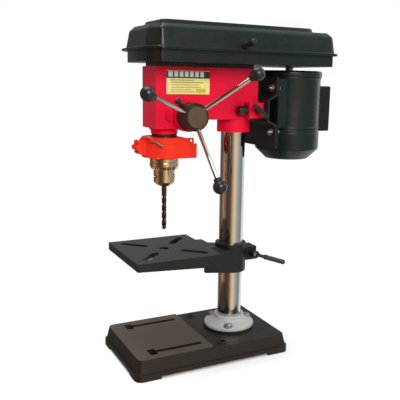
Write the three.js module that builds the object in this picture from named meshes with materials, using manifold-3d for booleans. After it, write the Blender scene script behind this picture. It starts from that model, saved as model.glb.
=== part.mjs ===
// A five-speed bench drill press, built as an assembly of separate named pieces.
// Units are millimetres and +Z is up. While it is drawn, the column axis is x = 0, y = 0, the bench
// is z = 0, the operator stands on the -Y side and the feed handle is on the +X side. The last
// lines move the whole press so that its bounding box is centred over the origin.
import * as THREE from 'three';
import { mergeVertices } from 'three/addons/utils/BufferGeometryUtils.js';
import Module from 'manifold-3d';

const wasm = await Module();
wasm.setup();

// Driving dimensions

const gap = 0.3; // running or seating clearance between two pieces
const throat = 139.4; // column axis to spindle axis
const feedTravel = 50; // stroke of the quill
const screwClearance = 0.4; // hole radius over screw radius
const over = 1; // how far a cut or a join runs past the face it starts from
const sides = { large: 28, middle: 20, small: 12, tiny: 8 }; // facets round a circle
const hexagon = 6;
const cornerSteps = 3; // facets round a quarter-circle corner

const base = {
  width: 176, beyondSpindle: 81.4, behindColumn: 74.6, height: 34.1, raised: 2.9, raisedEnd: 143.7,
  lipHeight: 13, flare: 7.3, lipStep: 2.5, wall: 8, deck: 10, corner: 6,
  footSide: 46, footFront: 38, footRise: 5, padMargin: 2.4, padHeight: 3.3,
};
const keySlot = { offset: 62, width: 9, wide: 23, wideLength: 13.5, front: 27.3, end: 130 };
const benchHole = { offset: 70, back: 51, radius: 5.5, bossRadius: 10.5, bossHeight: 1.5 };
const flange = {
  reach: 25.6, rim: 5.3, neckStep: 2, coneTop: 13, collarWall: 6, height: 22.4, boltReach: 17, spotDepth: 0.8,
};
const flangeBolt = {
  radius: 4, head: 7.4, headHeight: 5.3, length: 24, spotface: 8.6, washer: 8, washerHeight: 1.5,
};
const column = { radius: 23, wall: 3, length: 474 };

const head = {
  halfWidth: 32, grip: 69, height: 91, noseWall: 8.6, back: 33, quillDrop: 15, neckWall: 4,
  chamfer: 5, neckDrop: 25.2, socketWall: 8, socketDrop: 24, wall: 6, floor: 6, frontRib: 20, rearRib: 2,
  neckLap: 2, soleShort: 3,
};
const quill = {
  radius: 20, length: 115, bore: 10, drop: 50.6, rackCut: 4, bearingWall: 3, bearing: 11, bearingInset: 0.5,
};
const bumper = { wall: 2.5, height: 4.9 };
const spindle = { radius: 8, nose: 20, abovePulley: 4.3 };
const chuck = {
  bodyRadius: 19, collarRadius: 22, collar: 12.7, sleeveRadius: 26, sleeve: 22, sleeveTeeth: 2.5,
  barrel: 23, noseHeight: 5.5, noseRadius: 13.4, bore: 12.3, drop: 3, edge: 2, web: 4, sleeveEdge: 1.5,
};
const drill = { radius: 4.5, grip: 26, length: 83.8, point: 3 };
const jaw = { count: 3, width: 5, depth: 4.2, length: 33, proud: 3.5 };

const feed = {
  mesh: 0.4, lift: 7, pinion: 11, journal: 7, tail: 6, tailClear: 1.5, bossRadius: 27, bossLength: 14,
  bossSeat: 4, inset: 2,
};
const depthRing = { radius: 24.4, width: 15.4 };
const ringScrew = { angle: 133, radius: 3, head: 5.5, reach: 40, headLength: 7 };
const hub = { radius: 24, faceRadius: 18, width: 18, cone: 6, socket: 6, edge: 0.8 };
const spoke = { count: 3, phase: 40.1, radius: 3.6, root: 13, reach: 113.5, coneRise: 0.567, apex: 1.6 };
const ball = {
  radius: 12.3, neck: 6, neckTop: 7, neckLength: 3, neckSeat: 4, bore: 6, boreEnd: 0.5, boreLead: 3,
};
const springCap = { radius: 27, wall: 2.5, depth: 18 };
const coil = { inner: 8.5, outer: 22, turns: 3, thickness: 1.2, width: 10, facets: 20, inset: 2 };

const guard = {
  radius: 40, wall: 3, legBehind: 5.5, bandHeight: 25.5, plate: 2.7, skirt: 9.6, hubWall: 6.5,
  hubHeight: 14, pivotAhead: 3.6, pivotDrop: 17.2, ear: 13.5, earInner: 6.3, earOuter: 12, earRoot: 4,
  pin: 2.5, tab: 9, tabShort: 6, notch: 14, notchWall: 2.1, eye: 5.5, lugArm: 6, lugSeat: 2, slot: 8,
  chuckClear: 1.4, bite: 4, bites: [97, 152, 214], arcSteps: 10,
};
// Slanting screw that closes the guard clamp: its ends, inwards from the guard's side and front.
const clampScrew = {
  radius: 2, head: 3.4, boss: 4.2, topInset: 17, topBehind: 1.5, topRise: 1, lowOut: 2.5, lowBehind: 20,
  lowDrop: 4, bossRun: [0.12, 0.42], holeRun: [-0.1, 1.1], headRun: [-0.06, 0.1], roomRun: [0.6, 1.2],
};
const table = {
  size: 160, top: 206.4, wall: 7, deck: 9, skirtFront: 14, skirtBack: 23, armWidth: 66,
  level: 12, armDrop: 8, armSlope: 3, armRun: 14, armStart: 10, armFootRear: 9, armFootFront: 2,
  armRoomWall: 8, collarWall: 7, collarDrop: 1.4, collarHeight: 55, hole: 9, holeBoss: 8, ribDepth: 6,
  ribInset: 3, bossDepth: 8, slotWidth: 13, slotStart: 23, slotEnd: 61, slotEase: 0.05, slotSteps: 4,
  slit: 3, lug: 15, lugOut: 27, lugHeight: 26, boltRadius: 4, boltOut: 18, boltDrop: 24, boltHead: 7.4,
  boltHeadHeight: 5,
};
const lever = {
  hub: 7.5, hubLength: 16, root: 6, stem: 3, grip: 4.5, gripStart: 0.32, reach: 62, fall: 21, splay: 12,
  boltShort: 3,
};

const cover = {
  halfWidth: 80, beyondSpindle: 50.6, behindMotor: 46, corner: 8, slant: 9, slantWidth: 32, wall: 2,
  pan: 19.5, lip: 8, lipHeight: 2, lidWall: 31, lidDraft: 5, lidShoulder: 8, lidShoulderInset: 8,
  lidInset: 2, panelWidth: 92, panelFront: 26, panelBack: 21, panelHeight: 9, panelCorner: 12,
  panelDraft: 4, padDrop: 6.2, padWidth: 48, padFront: 3, padBack: 5, holeMargin: 1.5, seam: 0.02,
};
const cableHole = { radius: 3, back: 58, rise: 20, depth: 15 };
const hinge = { pin: 2.5, pinProud: 2, barrel: 5, knuckle: 30, gapLength: 40, centre: -10, endGap: 1 };
const lidKnob = {
  radius: 5.5, length: 34, back: -25, rise: 8.7, tilt: 9.5, stud: 3, studIn: 5, studOut: 2, hole: [-8, 6],
};
const pulley = {
  steps: 5, stepHeight: 9, small: 24, rise: 4, motorSmall: 13, groove: 7, grooveDepth: 6, lift: 4.5,
  hubDrop: 14, motorHub: 14,
};
const belt = { width: 6.4, thickness: 5.4, step: 2, rest: 0.2, arcSteps: 14 };

const motor = {
  radius: 62, sink: 2, wall: 4, bellHeight: 59, bodyHeight: 97, capHeight: 12, belowPan: 7.5,
  chamfer: 21, chamferHeight: 20, shaft: 7.5, rotor: 32, rotorEnd: 14, foot: 3.7, footMargin: 1,
  footHeight: 130, bellLining: 2, capRim: 1.5, capEdge: 3, capInset: 2, capBore: 2, shaftEnd: 1,
};
const shaftSlot = { half: 13, run: 27, corner: 12.9 }; // opening in the pan, with room for the motor's slide
const bracket = { plate: 3.5, joggle: 17.5, joggleHeight: 36, bend: 8, front: 53.5, bendInset: 2 };
const slideBar = {
  offset: 42, radius: 8, rise: 17, front: -15, stud: 5, nut: 8.5, nutHeight: 6, facets: 16, end: 1,
};
const barBoss = { inner: 30, outer: 52, front: 4, back: 34, low: 3, high: 31 };
const motorBolt = {
  fromEdge: 13, radius: 4, head: 7.2, headHeight: 5, fromBottom: 29.3, fromTop: 20.7, tip: 8,
};
const capacitor = { halfWidth: 22, depth: 24, sink: 2, belowBody: 6.7, fromTop: 15.7 };
const wing = {
  radius: 3, length: 19, span: 36, thickness: 7, tilt: 37, back: 19, blade: 6, bladeStart: 11.5,
  collar: 5.5, collarStart: 2,
};

// Things on the head's sides are placed backwards from its front face.
const switchBox = { fromNose: 10, length: 70, low: 40, high: 84, depth: 26, wall: 3 };
const button = {
  radius: 8, flange: 10, flangeWidth: 2.5, proud: 3.5, startFromNose: 28, stopFromNose: 62, rise: 61,
};
const plate = { fromNose: 19, length: 81.6, low: 44.3, high: 84.3, thickness: 1 };
const keyBoss = { radius: 10.5, fromNose: 26.5, rise: 8.5, length: 6, seat: 2 };
const lockScrew = { radius: 4, rise: 60, inset: 1 };

// Places worked out from them

const nose = quill.radius + head.noseWall; // the quill housing's half width, round the spindle axis
const neckRadius = quill.radius + head.neckWall;
const bumperRadius = quill.radius + bumper.wall;
const bearingRadius = quill.radius - quill.bearingWall;
const rackFace = quill.radius - quill.rackCut;
const guardHub = quill.radius + guard.hubWall;
const socketRadius = column.radius + head.socketWall;
const tableCollar = column.radius + table.collarWall;
const flangeRadius = column.radius + flange.reach;
const flangeCollar = column.radius + flange.collarWall;
const padRadius = flangeRadius + base.padMargin;
const baseFront = -throat - base.beyondSpindle;
const coverFront = -throat - cover.beyondSpindle;
const deckTop = base.height;
const padTop = deckTop + base.padHeight;
const flangeBottom = padTop + gap;
const columnTop = flangeBottom + column.length;
const headBottom = columnTop - head.grip;
const headTop = headBottom + head.height;
const headNose = throat + nose; // distance of the front face from the column axis
const quillHousingBottom = headBottom - head.quillDrop;
const neckBottom = headBottom - head.neckDrop;
const quillBottom = headBottom - quill.drop;
const bumperTop = neckBottom - gap;
const guardTop = bumperTop - bumper.height - gap;
const chuckTop = quillBottom - chuck.drop;
const sleeveTop = chuckTop - chuck.collar - gap;
const sleeveBottom = sleeveTop - chuck.sleeve;
const chuckNose = sleeveBottom - chuck.barrel - chuck.noseHeight;
const feedY = rackFace + feed.pinion + feed.mesh - throat;
const feedZ = headBottom + feed.lift;
const feedBossEnd = head.halfWidth + feed.bossLength;
const ringStart = feedBossEnd + gap;
const hubStart = ringStart + depthRing.width + gap;
const hubFace = hubStart + hub.width;
const spokeApex = hubStart + spoke.apex;
const panFloor = headTop + cover.padDrop + gap;
const panTop = panFloor + cover.pan + cover.lipHeight;
const lidBottom = panTop + gap;
const pulleyBottom = panFloor + cover.wall + pulley.lift;
const pulleyTop = pulleyBottom + pulley.steps * pulley.stepHeight;
const barZ = headBottom + slideBar.rise;
const motorTop = panFloor - motor.belowPan;
const bodyTop = motorTop - motor.capHeight;
const bodyBottom = bodyTop - motor.bodyHeight;
const bellBottom = bodyBottom - motor.bellHeight;
const footBottom = bodyTop - motor.footHeight;
const footFront = bracket.front + bracket.plate + gap;
const motorBack = footFront + motor.foot - motor.sink + motor.radius;
const halfFoot = motor.radius + motor.footMargin;
const coverBack = motorBack + cover.behindMotor;
const tableCollarTop = table.top - table.collarDrop;

// Solids

function solid(geometry) {
  const bare = geometry.index ? geometry.toNonIndexed() : geometry.clone();
  bare.deleteAttribute('normal');
  bare.deleteAttribute('uv');
  const merged = mergeVertices(bare, 1e-4);
  const index = merged.index.array;
  const points = merged.attributes.position.array;
  const triangles = [];
  let volume = 0;
  const a = new THREE.Vector3();
  const b = new THREE.Vector3();
  const c = new THREE.Vector3();
  for (let i = 0; i < index.length; i += 3) {
    const [p, q, r] = [index[i], index[i + 1], index[i + 2]];
    if (p === q || q === r || r === p) continue;
    a.fromArray(points, 3 * p);
    b.fromArray(points, 3 * q);
    c.fromArray(points, 3 * r);
    volume += a.dot(b.cross(c));
    triangles.push(p, q, r);
  }
  if (volume < 0) triangles.reverse();
  const mesh = new wasm.Mesh({
    numProp: 3,
    vertProperties: new Float32Array(points),
    triVerts: new Uint32Array(triangles),
  });
  return new wasm.Manifold(mesh);
}

function join(first, ...rest) {
  return rest.reduce((made, next) => made.add(next), first);
}

function cut(first, ...rest) {
  return rest.reduce((made, next) => made.subtract(next), first);
}

function block(x, y, z) {
  const box = new THREE.BoxGeometry(x[1] - x[0], y[1] - y[0], z[1] - z[0]);
  return solid(box.translate((x[0] + x[1]) / 2, (y[0] + y[1]) / 2, (z[0] + z[1]) / 2));
}

// A cylinder or cone between two points.
function rod(from, to, radius, facets = sides.small, endRadius = radius) {
  const start = new THREE.Vector3(...from);
  const along = new THREE.Vector3(...to).sub(start);
  const shape = new THREE.CylinderGeometry(endRadius, radius, along.length(), facets);
  shape.translate(0, along.length() / 2, 0);
  const up = new THREE.Vector3(0, 1, 0);
  shape.applyQuaternion(new THREE.Quaternion().setFromUnitVectors(up, along.normalize()));
  return solid(shape.translate(...from));
}

// Upright cylinder at (x, y), and lying cylinders along X at (y, z) and along Y at (x, z).
const post = (x, y, z, radius, facets) => rod([x, y, z[0]], [x, y, z[1]], radius, facets);
const barX = (y, z, x, radius, facets) => rod([x[0], y, z], [x[1], y, z], radius, facets);
const barY = (x, z, y, radius, facets) => rod([x, y[0], z], [x, y[1], z], radius, facets);

// A profile of [radius, height] pairs turned about an upright axis at (x, y).
function turned(profile, x, y, facets = sides.middle) {
  const points = profile.map(([radius, height]) => new THREE.Vector2(radius, height));
  const shape = new THREE.LatheGeometry(points, facets);
  return solid(shape.rotateX(Math.PI / 2).translate(x, y, 0));
}

// The same, turned about an axis along +X at (y, z): heights are x positions.
function turnedX(profile, y, z, facets = sides.middle) {
  const points = profile.map(([radius, height]) => new THREE.Vector2(radius, height));
  const shape = new THREE.LatheGeometry(points, facets);
  return solid(shape.rotateZ(-Math.PI / 2).translate(0, y, z));
}

function roundedRectangle(x, y, radius) {
  const shape = new THREE.Shape();
  shape.moveTo(x[0] + radius, y[0]);
  shape.lineTo(x[1] - radius, y[0]);
  shape.absarc(x[1] - radius, y[0] + radius, radius, -Math.PI / 2, 0);
  shape.absarc(x[1] - radius, y[1] - radius, radius, 0, Math.PI / 2);
  shape.absarc(x[0] + radius, y[1] - radius, radius, Math.PI / 2, Math.PI);
  shape.absarc(x[0] + radius, y[0] + radius, radius, Math.PI, 1.5 * Math.PI);
  return shape;
}

// The same with a shallow slant across each front corner.
function slantedRectangle(x, y, radius) {
  const shape = new THREE.Shape();
  const turnY = y[0] + cover.slant;
  shape.moveTo(x[0] + cover.slantWidth, y[0]);
  shape.lineTo(x[1] - cover.slantWidth, y[0]);
  shape.absarc(x[1] - radius, turnY + radius, radius, -Math.PI / 2, 0);
  shape.absarc(x[1] - radius, y[1] - radius, radius, 0, Math.PI / 2);
  shape.absarc(x[0] + radius, y[1] - radius, radius, Math.PI / 2, Math.PI);
  shape.absarc(x[0] + radius, turnY + radius, radius, Math.PI, 1.5 * Math.PI);
  return shape;
}

// An outline in plan, raised from z[0] to z[1].
function raised(shape, z, curveSegments = cornerSteps) {
  const options = { depth: z[1] - z[0], bevelEnabled: false, curveSegments };
  return solid(new THREE.ExtrudeGeometry(shape, options).translate(0, 0, z[0]));
}

// A rounded block whose upper outline is drawn in by the inset on every side.
function drafted(x, y, z, radius, inset, plan = roundedRectangle) {
  const options = { depth: z[1] - z[0], bevelEnabled: false, curveSegments: cornerSteps };
  const shape = new THREE.ExtrudeGeometry(plan(x, y, radius), options);
  const [midX, midY] = [(x[0] + x[1]) / 2, (y[0] + y[1]) / 2];
  const scaleX = 1 - (2 * inset) / (x[1] - x[0]);
  const scaleY = 1 - (2 * inset) / (y[1] - y[0]);
  const position = shape.attributes.position;
  for (let i = 0; i < position.count; i += 1) {
    if (position.getZ(i) === 0) continue;
    position.setX(i, midX + (position.getX(i) - midX) * scaleX);
    position.setY(i, midY + (position.getY(i) - midY) * scaleY);
  }
  return solid(shape.translate(0, 0, z[0]));
}

// A side view drawn as [y, z] points and carried across from x[0] to x[1].
function sideways(points, x) {
  const shape = new THREE.Shape(points.map(([y, z]) => new THREE.Vector2(y, z)));
  const made = new THREE.ExtrudeGeometry(shape, { depth: x[1] - x[0], bevelEnabled: false });
  const across = new THREE.Matrix4().makeBasis(
    new THREE.Vector3(0, 1, 0), new THREE.Vector3(0, 0, 1), new THREE.Vector3(1, 0, 0),
  );
  return solid(made.applyMatrix4(across).translate(x[0], 0, 0));
}

const turn = (degrees) => THREE.MathUtils.degToRad(degrees);
const around = (radius, degrees) => [radius * Math.cos(turn(degrees)), radius * Math.sin(turn(degrees))];

// Finishes

const finishes = {
  blackCasting: { color: 0x2b2f2f, roughness: 0.55, metalness: 0.1 },
  baseCasting: { color: 0x524a44, roughness: 0.6, metalness: 0.2 },
  greyPaint: { color: 0xadaca8, roughness: 0.5, metalness: 0.1 },
  redPaint: { color: 0xe8183c, roughness: 0.35, metalness: 0.05 },
  blackPaint: { color: 0x1c2123, roughness: 0.35, metalness: 0.1 },
  orangePlastic: { color: 0xe8321a, roughness: 0.45, metalness: 0 },
  chrome: { color: 0xd0d2d2, roughness: 0.12, metalness: 1 },
  steel: { color: 0xa9aaa8, roughness: 0.35, metalness: 1 },
  darkSteel: { color: 0x3a3936, roughness: 0.4, metalness: 0.9 },
  brownPlastic: { color: 0x4a3828, roughness: 0.5, metalness: 0 },
  blackPlastic: { color: 0x1b1d1e, roughness: 0.35, metalness: 0 },
  rubber: { color: 0x151515, roughness: 0.8, metalness: 0 },
  aluminium: { color: 0xb8babb, roughness: 0.4, metalness: 1 },
  labelYellow: { color: 0xe4d66a, roughness: 0.5, metalness: 0 },
  greenPlastic: { color: 0x1f8a3c, roughness: 0.4, metalness: 0 },
  redPlastic: { color: 0xc81e1e, roughness: 0.4, metalness: 0 },
};

const press = new THREE.Group();

function piece(name, finish, made) {
  const mesh = made.getMesh();
  const geometry = new THREE.BufferGeometry();
  geometry.setAttribute('position', new THREE.BufferAttribute(mesh.vertProperties, 3));
  geometry.setIndex(new THREE.BufferAttribute(mesh.triVerts, 1));
  geometry.computeVertexNormals();
  const node = new THREE.Mesh(geometry, new THREE.MeshStandardMaterial(finishes[finish]));
  node.name = name;
  press.add(node);
}

// Base and column

const boltAngles = [-30, 90, 210];
const boltPlaces = boltAngles.map((angle) => around(column.radius + flange.boltReach, angle));

function makeBase() {
  const halfWidth = base.width / 2;
  const [front, back] = [baseFront, base.behindColumn];
  const out = base.flare;
  const top = deckTop + base.raised;
  const outerX = [-halfWidth - out, halfWidth + out];
  const outerY = [front - out, back + out];
  const lip = raised(roundedRectangle(outerX, outerY, base.corner + out), [0, base.lipHeight]);
  const side = out - base.lipStep;
  const upper = drafted(
    [-halfWidth - side, halfWidth + side], [front - side, back + side],
    [base.lipHeight - over, top], base.corner + side, side,
  );
  const rearStep = block(outerX, [front + base.raisedEnd, back + out], [deckTop, top + over]);
  const pad = post(0, 0, [deckTop - over, padTop], padRadius, sides.large);
  const bossZ = [deckTop - over, deckTop + benchHole.bossHeight];
  const bosses = [-1, 1].map((hand) => post(
    hand * benchHole.offset, -benchHole.back, bossZ, benchHole.bossRadius,
  ));
  const cavity = block(
    [-halfWidth + base.wall, halfWidth - base.wall], [front + base.wall, back - base.wall],
    [-over, deckTop - base.deck],
  );
  const archAcross = block(
    [outerX[0] + base.footFront, outerX[1] - base.footFront], [front - 2 * out, back + 2 * out],
    [-over, base.footRise],
  );
  const archAlong = block(
    [-halfWidth - 2 * out, halfWidth + 2 * out],
    [outerY[0] + base.footSide, outerY[1] - base.footSide], [-over, base.footRise],
  );
  const cuts = [cavity, archAcross, archAlong];
  const slotFront = front + keySlot.front;
  const wideBack = slotFront + keySlot.wideLength;
  const through = [0, top + over];
  for (const hand of [-1, 1]) {
    const x = hand * keySlot.offset;
    const across = (width) => [x - width / 2, x + width / 2];
    cuts.push(block(across(keySlot.wide), [slotFront, wideBack], through));
    cuts.push(block(across(keySlot.width), [wideBack - over, front + keySlot.end], through));
    cuts.push(post(hand * benchHole.offset, -benchHole.back, through, benchHole.radius, sides.small));
  }
  for (const [x, y] of boltPlaces) {
    cuts.push(post(x, y, [0, padTop + over], flangeBolt.radius + screwClearance, sides.tiny));
  }
  piece('base', 'baseCasting', cut(join(upper.subtract(rearStep), lip, pad, ...bosses), ...cuts));
}

function makeColumn() {
  const rimTop = flangeBottom + flange.rim;
  const coneTop = flangeBottom + flange.coneTop;
  const flangeTop = flangeBottom + flange.height;
  const bore = column.radius + gap;
  const outline = [
    [bore, flangeBottom], [flangeRadius, flangeBottom], [flangeRadius, rimTop],
    [flangeCollar + flange.neckStep, coneTop], [flangeCollar, coneTop + flange.neckStep],
    [flangeCollar, flangeTop], [bore, flangeTop], [bore, flangeBottom],
  ];
  const headSeat = rimTop + flange.spotDepth;
  const recesses = boltPlaces.flatMap(([x, y]) => [
    post(x, y, [headSeat, flangeTop + over], flangeBolt.spotface, sides.small),
    post(x, y, [flangeBottom - over, headSeat + over], flangeBolt.radius + screwClearance, sides.tiny),
  ]);
  piece('column_flange', 'greyPaint', cut(turned(outline, 0, 0, sides.large), ...recesses));
  boltPlaces.forEach(([x, y], i) => {
    const seat = headSeat + gap;
    const hexSeat = seat + flangeBolt.washerHeight - gap;
    const shank = post(x, y, [seat + over - flangeBolt.length, seat + over], flangeBolt.radius, sides.tiny);
    const washer = post(x, y, [seat, seat + flangeBolt.washerHeight], flangeBolt.washer, sides.tiny);
    const hex = post(x, y, [hexSeat, hexSeat + flangeBolt.headHeight], flangeBolt.head, hexagon);
    piece(`flange_bolt_${i + 1}`, 'steel', join(shank, washer, hex));
  });
  const tube = post(0, 0, [flangeBottom, columnTop], column.radius, sides.large);
  const inside = post(0, 0, [flangeBottom - over, columnTop + over], column.radius - column.wall, sides.large);
  piece('column', 'chrome', tube.subtract(inside));
}

// Head

function makeHead() {
  const { halfWidth } = head;
  const outline = [
    [-headNose, quillHousingBottom], [-throat + nose, quillHousingBottom],
    [feedY + feed.bossRadius - head.soleShort, headBottom], [head.back, headBottom],
    [head.back, headTop], [-headNose, headTop],
  ];
  const body = sideways(outline, [-halfWidth, halfWidth]);
  const neck = turned([
    [0, neckBottom], [neckRadius, neckBottom], [neckRadius, quillHousingBottom - head.chamfer],
    [nose, quillHousingBottom], [nose, quillHousingBottom + head.neckLap],
    [0, quillHousingBottom + head.neckLap],
  ], 0, -throat);
  const socketBottom = headBottom - head.socketDrop;
  const socket = post(0, 0, [socketBottom, headBottom + head.neckLap], socketRadius, sides.middle);
  const bossX = [halfWidth - feed.bossSeat, feedBossEnd];
  const feedBoss = barX(feedY, feedZ, bossX, feed.bossRadius, sides.middle);
  const keyX = [halfWidth - keyBoss.seat, halfWidth + keyBoss.length];
  const keyY = keyBoss.fromNose - headNose;
  const key = barX(keyY, headBottom + keyBoss.rise, keyX, keyBoss.radius, hexagon);
  const barBosses = [-1, 1].map((hand) => block(
    [barBoss.inner, barBoss.outer].map((x) => hand * x).sort((a, b) => a - b),
    [barBoss.front, barBoss.back], [headBottom + barBoss.low, headBottom + barBoss.high],
  ));
  const cavity = block(
    [-halfWidth + head.wall, halfWidth - head.wall],
    [-throat + nose + head.wall + head.frontRib, -column.radius - head.wall - head.rearRib],
    [headBottom + head.floor, headTop + over],
  );
  const pinionX = [-halfWidth - over, feedBossEnd + over];
  const lockZ = headBottom + lockScrew.rise;
  const lockX = [-halfWidth - over, -column.radius + 2 * over];
  const wingX = [slideBar.offset, barBoss.outer + over];
  const bossY = [barBoss.front - over, barBoss.back + over];
  const cuts = [
    cavity,
    post(0, -throat, [neckBottom - over, headTop + over], quill.radius + gap, sides.middle),
    barX(feedY, feedZ, pinionX, feed.pinion + gap, sides.middle),
    post(0, 0, [socketBottom - over, headTop + over], column.radius + gap, sides.large),
    ...[-1, 1].map((hand) => barY(hand * slideBar.offset, barZ, bossY, slideBar.radius + gap)),
    barX(wing.back, barZ, wingX, wing.radius + screwClearance, sides.tiny),
    barX(0, lockZ, lockX, lockScrew.radius + screwClearance, sides.tiny),
  ];
  piece('head_casting', 'redPaint', cut(join(body, neck, socket, feedBoss, key, ...barBosses), ...cuts));

  const screwX = [-halfWidth + lockScrew.inset, -column.radius - gap];
  piece('head_lock_screw', 'darkSteel', barX(0, lockZ, screwX, lockScrew.radius, sides.tiny));
  const plateFront = plate.fromNose - headNose;
  piece('name_plate', 'labelYellow', block(
    [halfWidth + gap, halfWidth + gap + plate.thickness], [plateFront, plateFront + plate.length],
    [headBottom + plate.low, headBottom + plate.high],
  ));
}

function makeSwitch() {
  const faceX = -head.halfWidth - gap;
  const y = [switchBox.fromNose - headNose, switchBox.fromNose + switchBox.length - headNose];
  const z = [headBottom + switchBox.low, headBottom + switchBox.high];
  const frontX = faceX - switchBox.depth;
  const shell = block([frontX, faceX], y, z);
  const inside = block(
    [frontX + switchBox.wall, faceX + over], [y[0] + switchBox.wall, y[1] - switchBox.wall],
    [z[0] + switchBox.wall, z[1] - switchBox.wall],
  );
  const buttonZ = headBottom + button.rise;
  const wallX = [frontX - over, frontX + switchBox.wall + over];
  const holes = [button.startFromNose, button.stopFromNose].map((back) => barX(
    back - headNose, buttonZ, wallX, button.radius + gap,
  ));
  piece('switch_box', 'blackPlastic', cut(shell, inside, ...holes));
  const buttons = [
    ['start_button', 'greenPlastic', button.startFromNose], ['stop_button', 'redPlastic', button.stopFromNose],
  ];
  const innerFace = frontX + switchBox.wall + gap;
  for (const [name, finish, back] of buttons) {
    const cap = barX(back - headNose, buttonZ, [frontX - button.proud, innerFace + over], button.radius);
    const flangeX = [innerFace, innerFace + button.flangeWidth];
    const flangeDisc = barX(back - headNose, buttonZ, flangeX, button.flange);
    piece(name, finish, cap.add(flangeDisc));
  }
}

// Quill, spindle and chuck

function makeQuill() {
  const top = quillBottom + quill.length;
  const tube = post(0, -throat, [quillBottom, top], quill.radius, sides.middle);
  const bore = post(0, -throat, [quillBottom - over, top + over], quill.bore);
  const seatZ = [quillBottom - over, quillBottom + quill.bearing + over];
  const seat = post(0, -throat, seatZ, bearingRadius + gap, sides.middle);
  const rackFlat = block(
    [-quill.radius, quill.radius], [-throat + rackFace, -throat + quill.radius + over],
    [feedZ - feed.pinion - 2, top + over],
  );
  piece('quill', 'steel', cut(tube, bore, seat, rackFlat));
  const bumperBottom = bumperTop - bumper.height;
  const ring = post(0, -throat, [bumperBottom, bumperTop], bumperRadius, sides.middle);
  const holeZ = [bumperBottom - over, bumperTop + over];
  piece('quill_bumper', 'rubber', ring.subtract(post(0, -throat, holeZ, quill.radius + gap, sides.middle)));
  const bearingBottom = quillBottom + quill.bearingInset;
  const bearingZ = [bearingBottom, bearingBottom + quill.bearing];
  const outerRace = post(0, -throat, bearingZ, bearingRadius, sides.middle);
  const innerRace = post(0, -throat, [bearingZ[0] - over, bearingZ[1] + over], spindle.radius + gap);
  piece('lower_bearing', 'steel', outerRace.subtract(innerRace));
}

function makeSpindle() {
  const noseBottom = chuckTop - spindle.nose;
  const shaftZ = [noseBottom, pulleyTop + spindle.abovePulley];
  piece('spindle_shaft', 'steel', post(0, -throat, shaftZ, spindle.radius, sides.small));

  const barrelBottom = chuckNose + chuck.noseHeight;
  const outline = [
    [0, chuckNose], [chuck.noseRadius, chuckNose], [chuck.bodyRadius - chuck.edge, barrelBottom - chuck.edge],
    [chuck.bodyRadius, barrelBottom], [chuck.bodyRadius, sleeveTop + gap], [chuck.collarRadius, sleeveTop + gap],
    [chuck.collarRadius, chuckTop], [0, chuckTop],
  ];
  const webBottom = noseBottom - chuck.web;
  const jawRoom = post(0, -throat, [chuckNose - over, webBottom], chuck.bore, sides.middle);
  const mouth = post(0, -throat, [webBottom - over, chuckTop + over], spindle.radius + gap, sides.small);
  piece('chuck_body', 'steel', cut(turned(outline, 0, -throat, sides.middle), jawRoom, mouth));

  const sleeveOutline = [
    [chuck.bodyRadius + gap, sleeveBottom], [chuck.sleeveRadius - chuck.sleeveTeeth, sleeveBottom],
    [chuck.sleeveRadius, sleeveBottom + 2 * chuck.sleeveTeeth],
    [chuck.sleeveRadius, sleeveTop - chuck.sleeveEdge],
    [chuck.sleeveRadius - chuck.sleeveEdge, sleeveTop], [chuck.bodyRadius + gap, sleeveTop],
    [chuck.bodyRadius + gap, sleeveBottom],
  ];
  piece('chuck_sleeve', 'steel', turned(sleeveOutline, 0, -throat, sides.middle));

  const drillTop = chuckNose + drill.grip;
  const drillTip = chuckNose - drill.length;
  const drillOutline = [
    [0, drillTip], [drill.radius, drillTip + drill.point], [drill.radius, drillTop], [0, drillTop],
  ];
  piece('drill_bit', 'darkSteel', turned(drillOutline, 0, -throat, sides.small));

  const jawBottom = chuckNose - jaw.proud;
  const jawInner = drill.radius + gap;
  for (let i = 0; i < jaw.count; i += 1) {
    const finger = block(
      [jawInner, jawInner + jaw.depth], [-jaw.width / 2, jaw.width / 2], [jawBottom, jawBottom + jaw.length],
    );
    const placed = finger.rotate([0, 0, (360 / jaw.count) * i + 90]).translate([0, -throat, 0]);
    piece(`chuck_jaw_${i + 1}`, 'darkSteel', placed);
  }
}

// Feed handle

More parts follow.
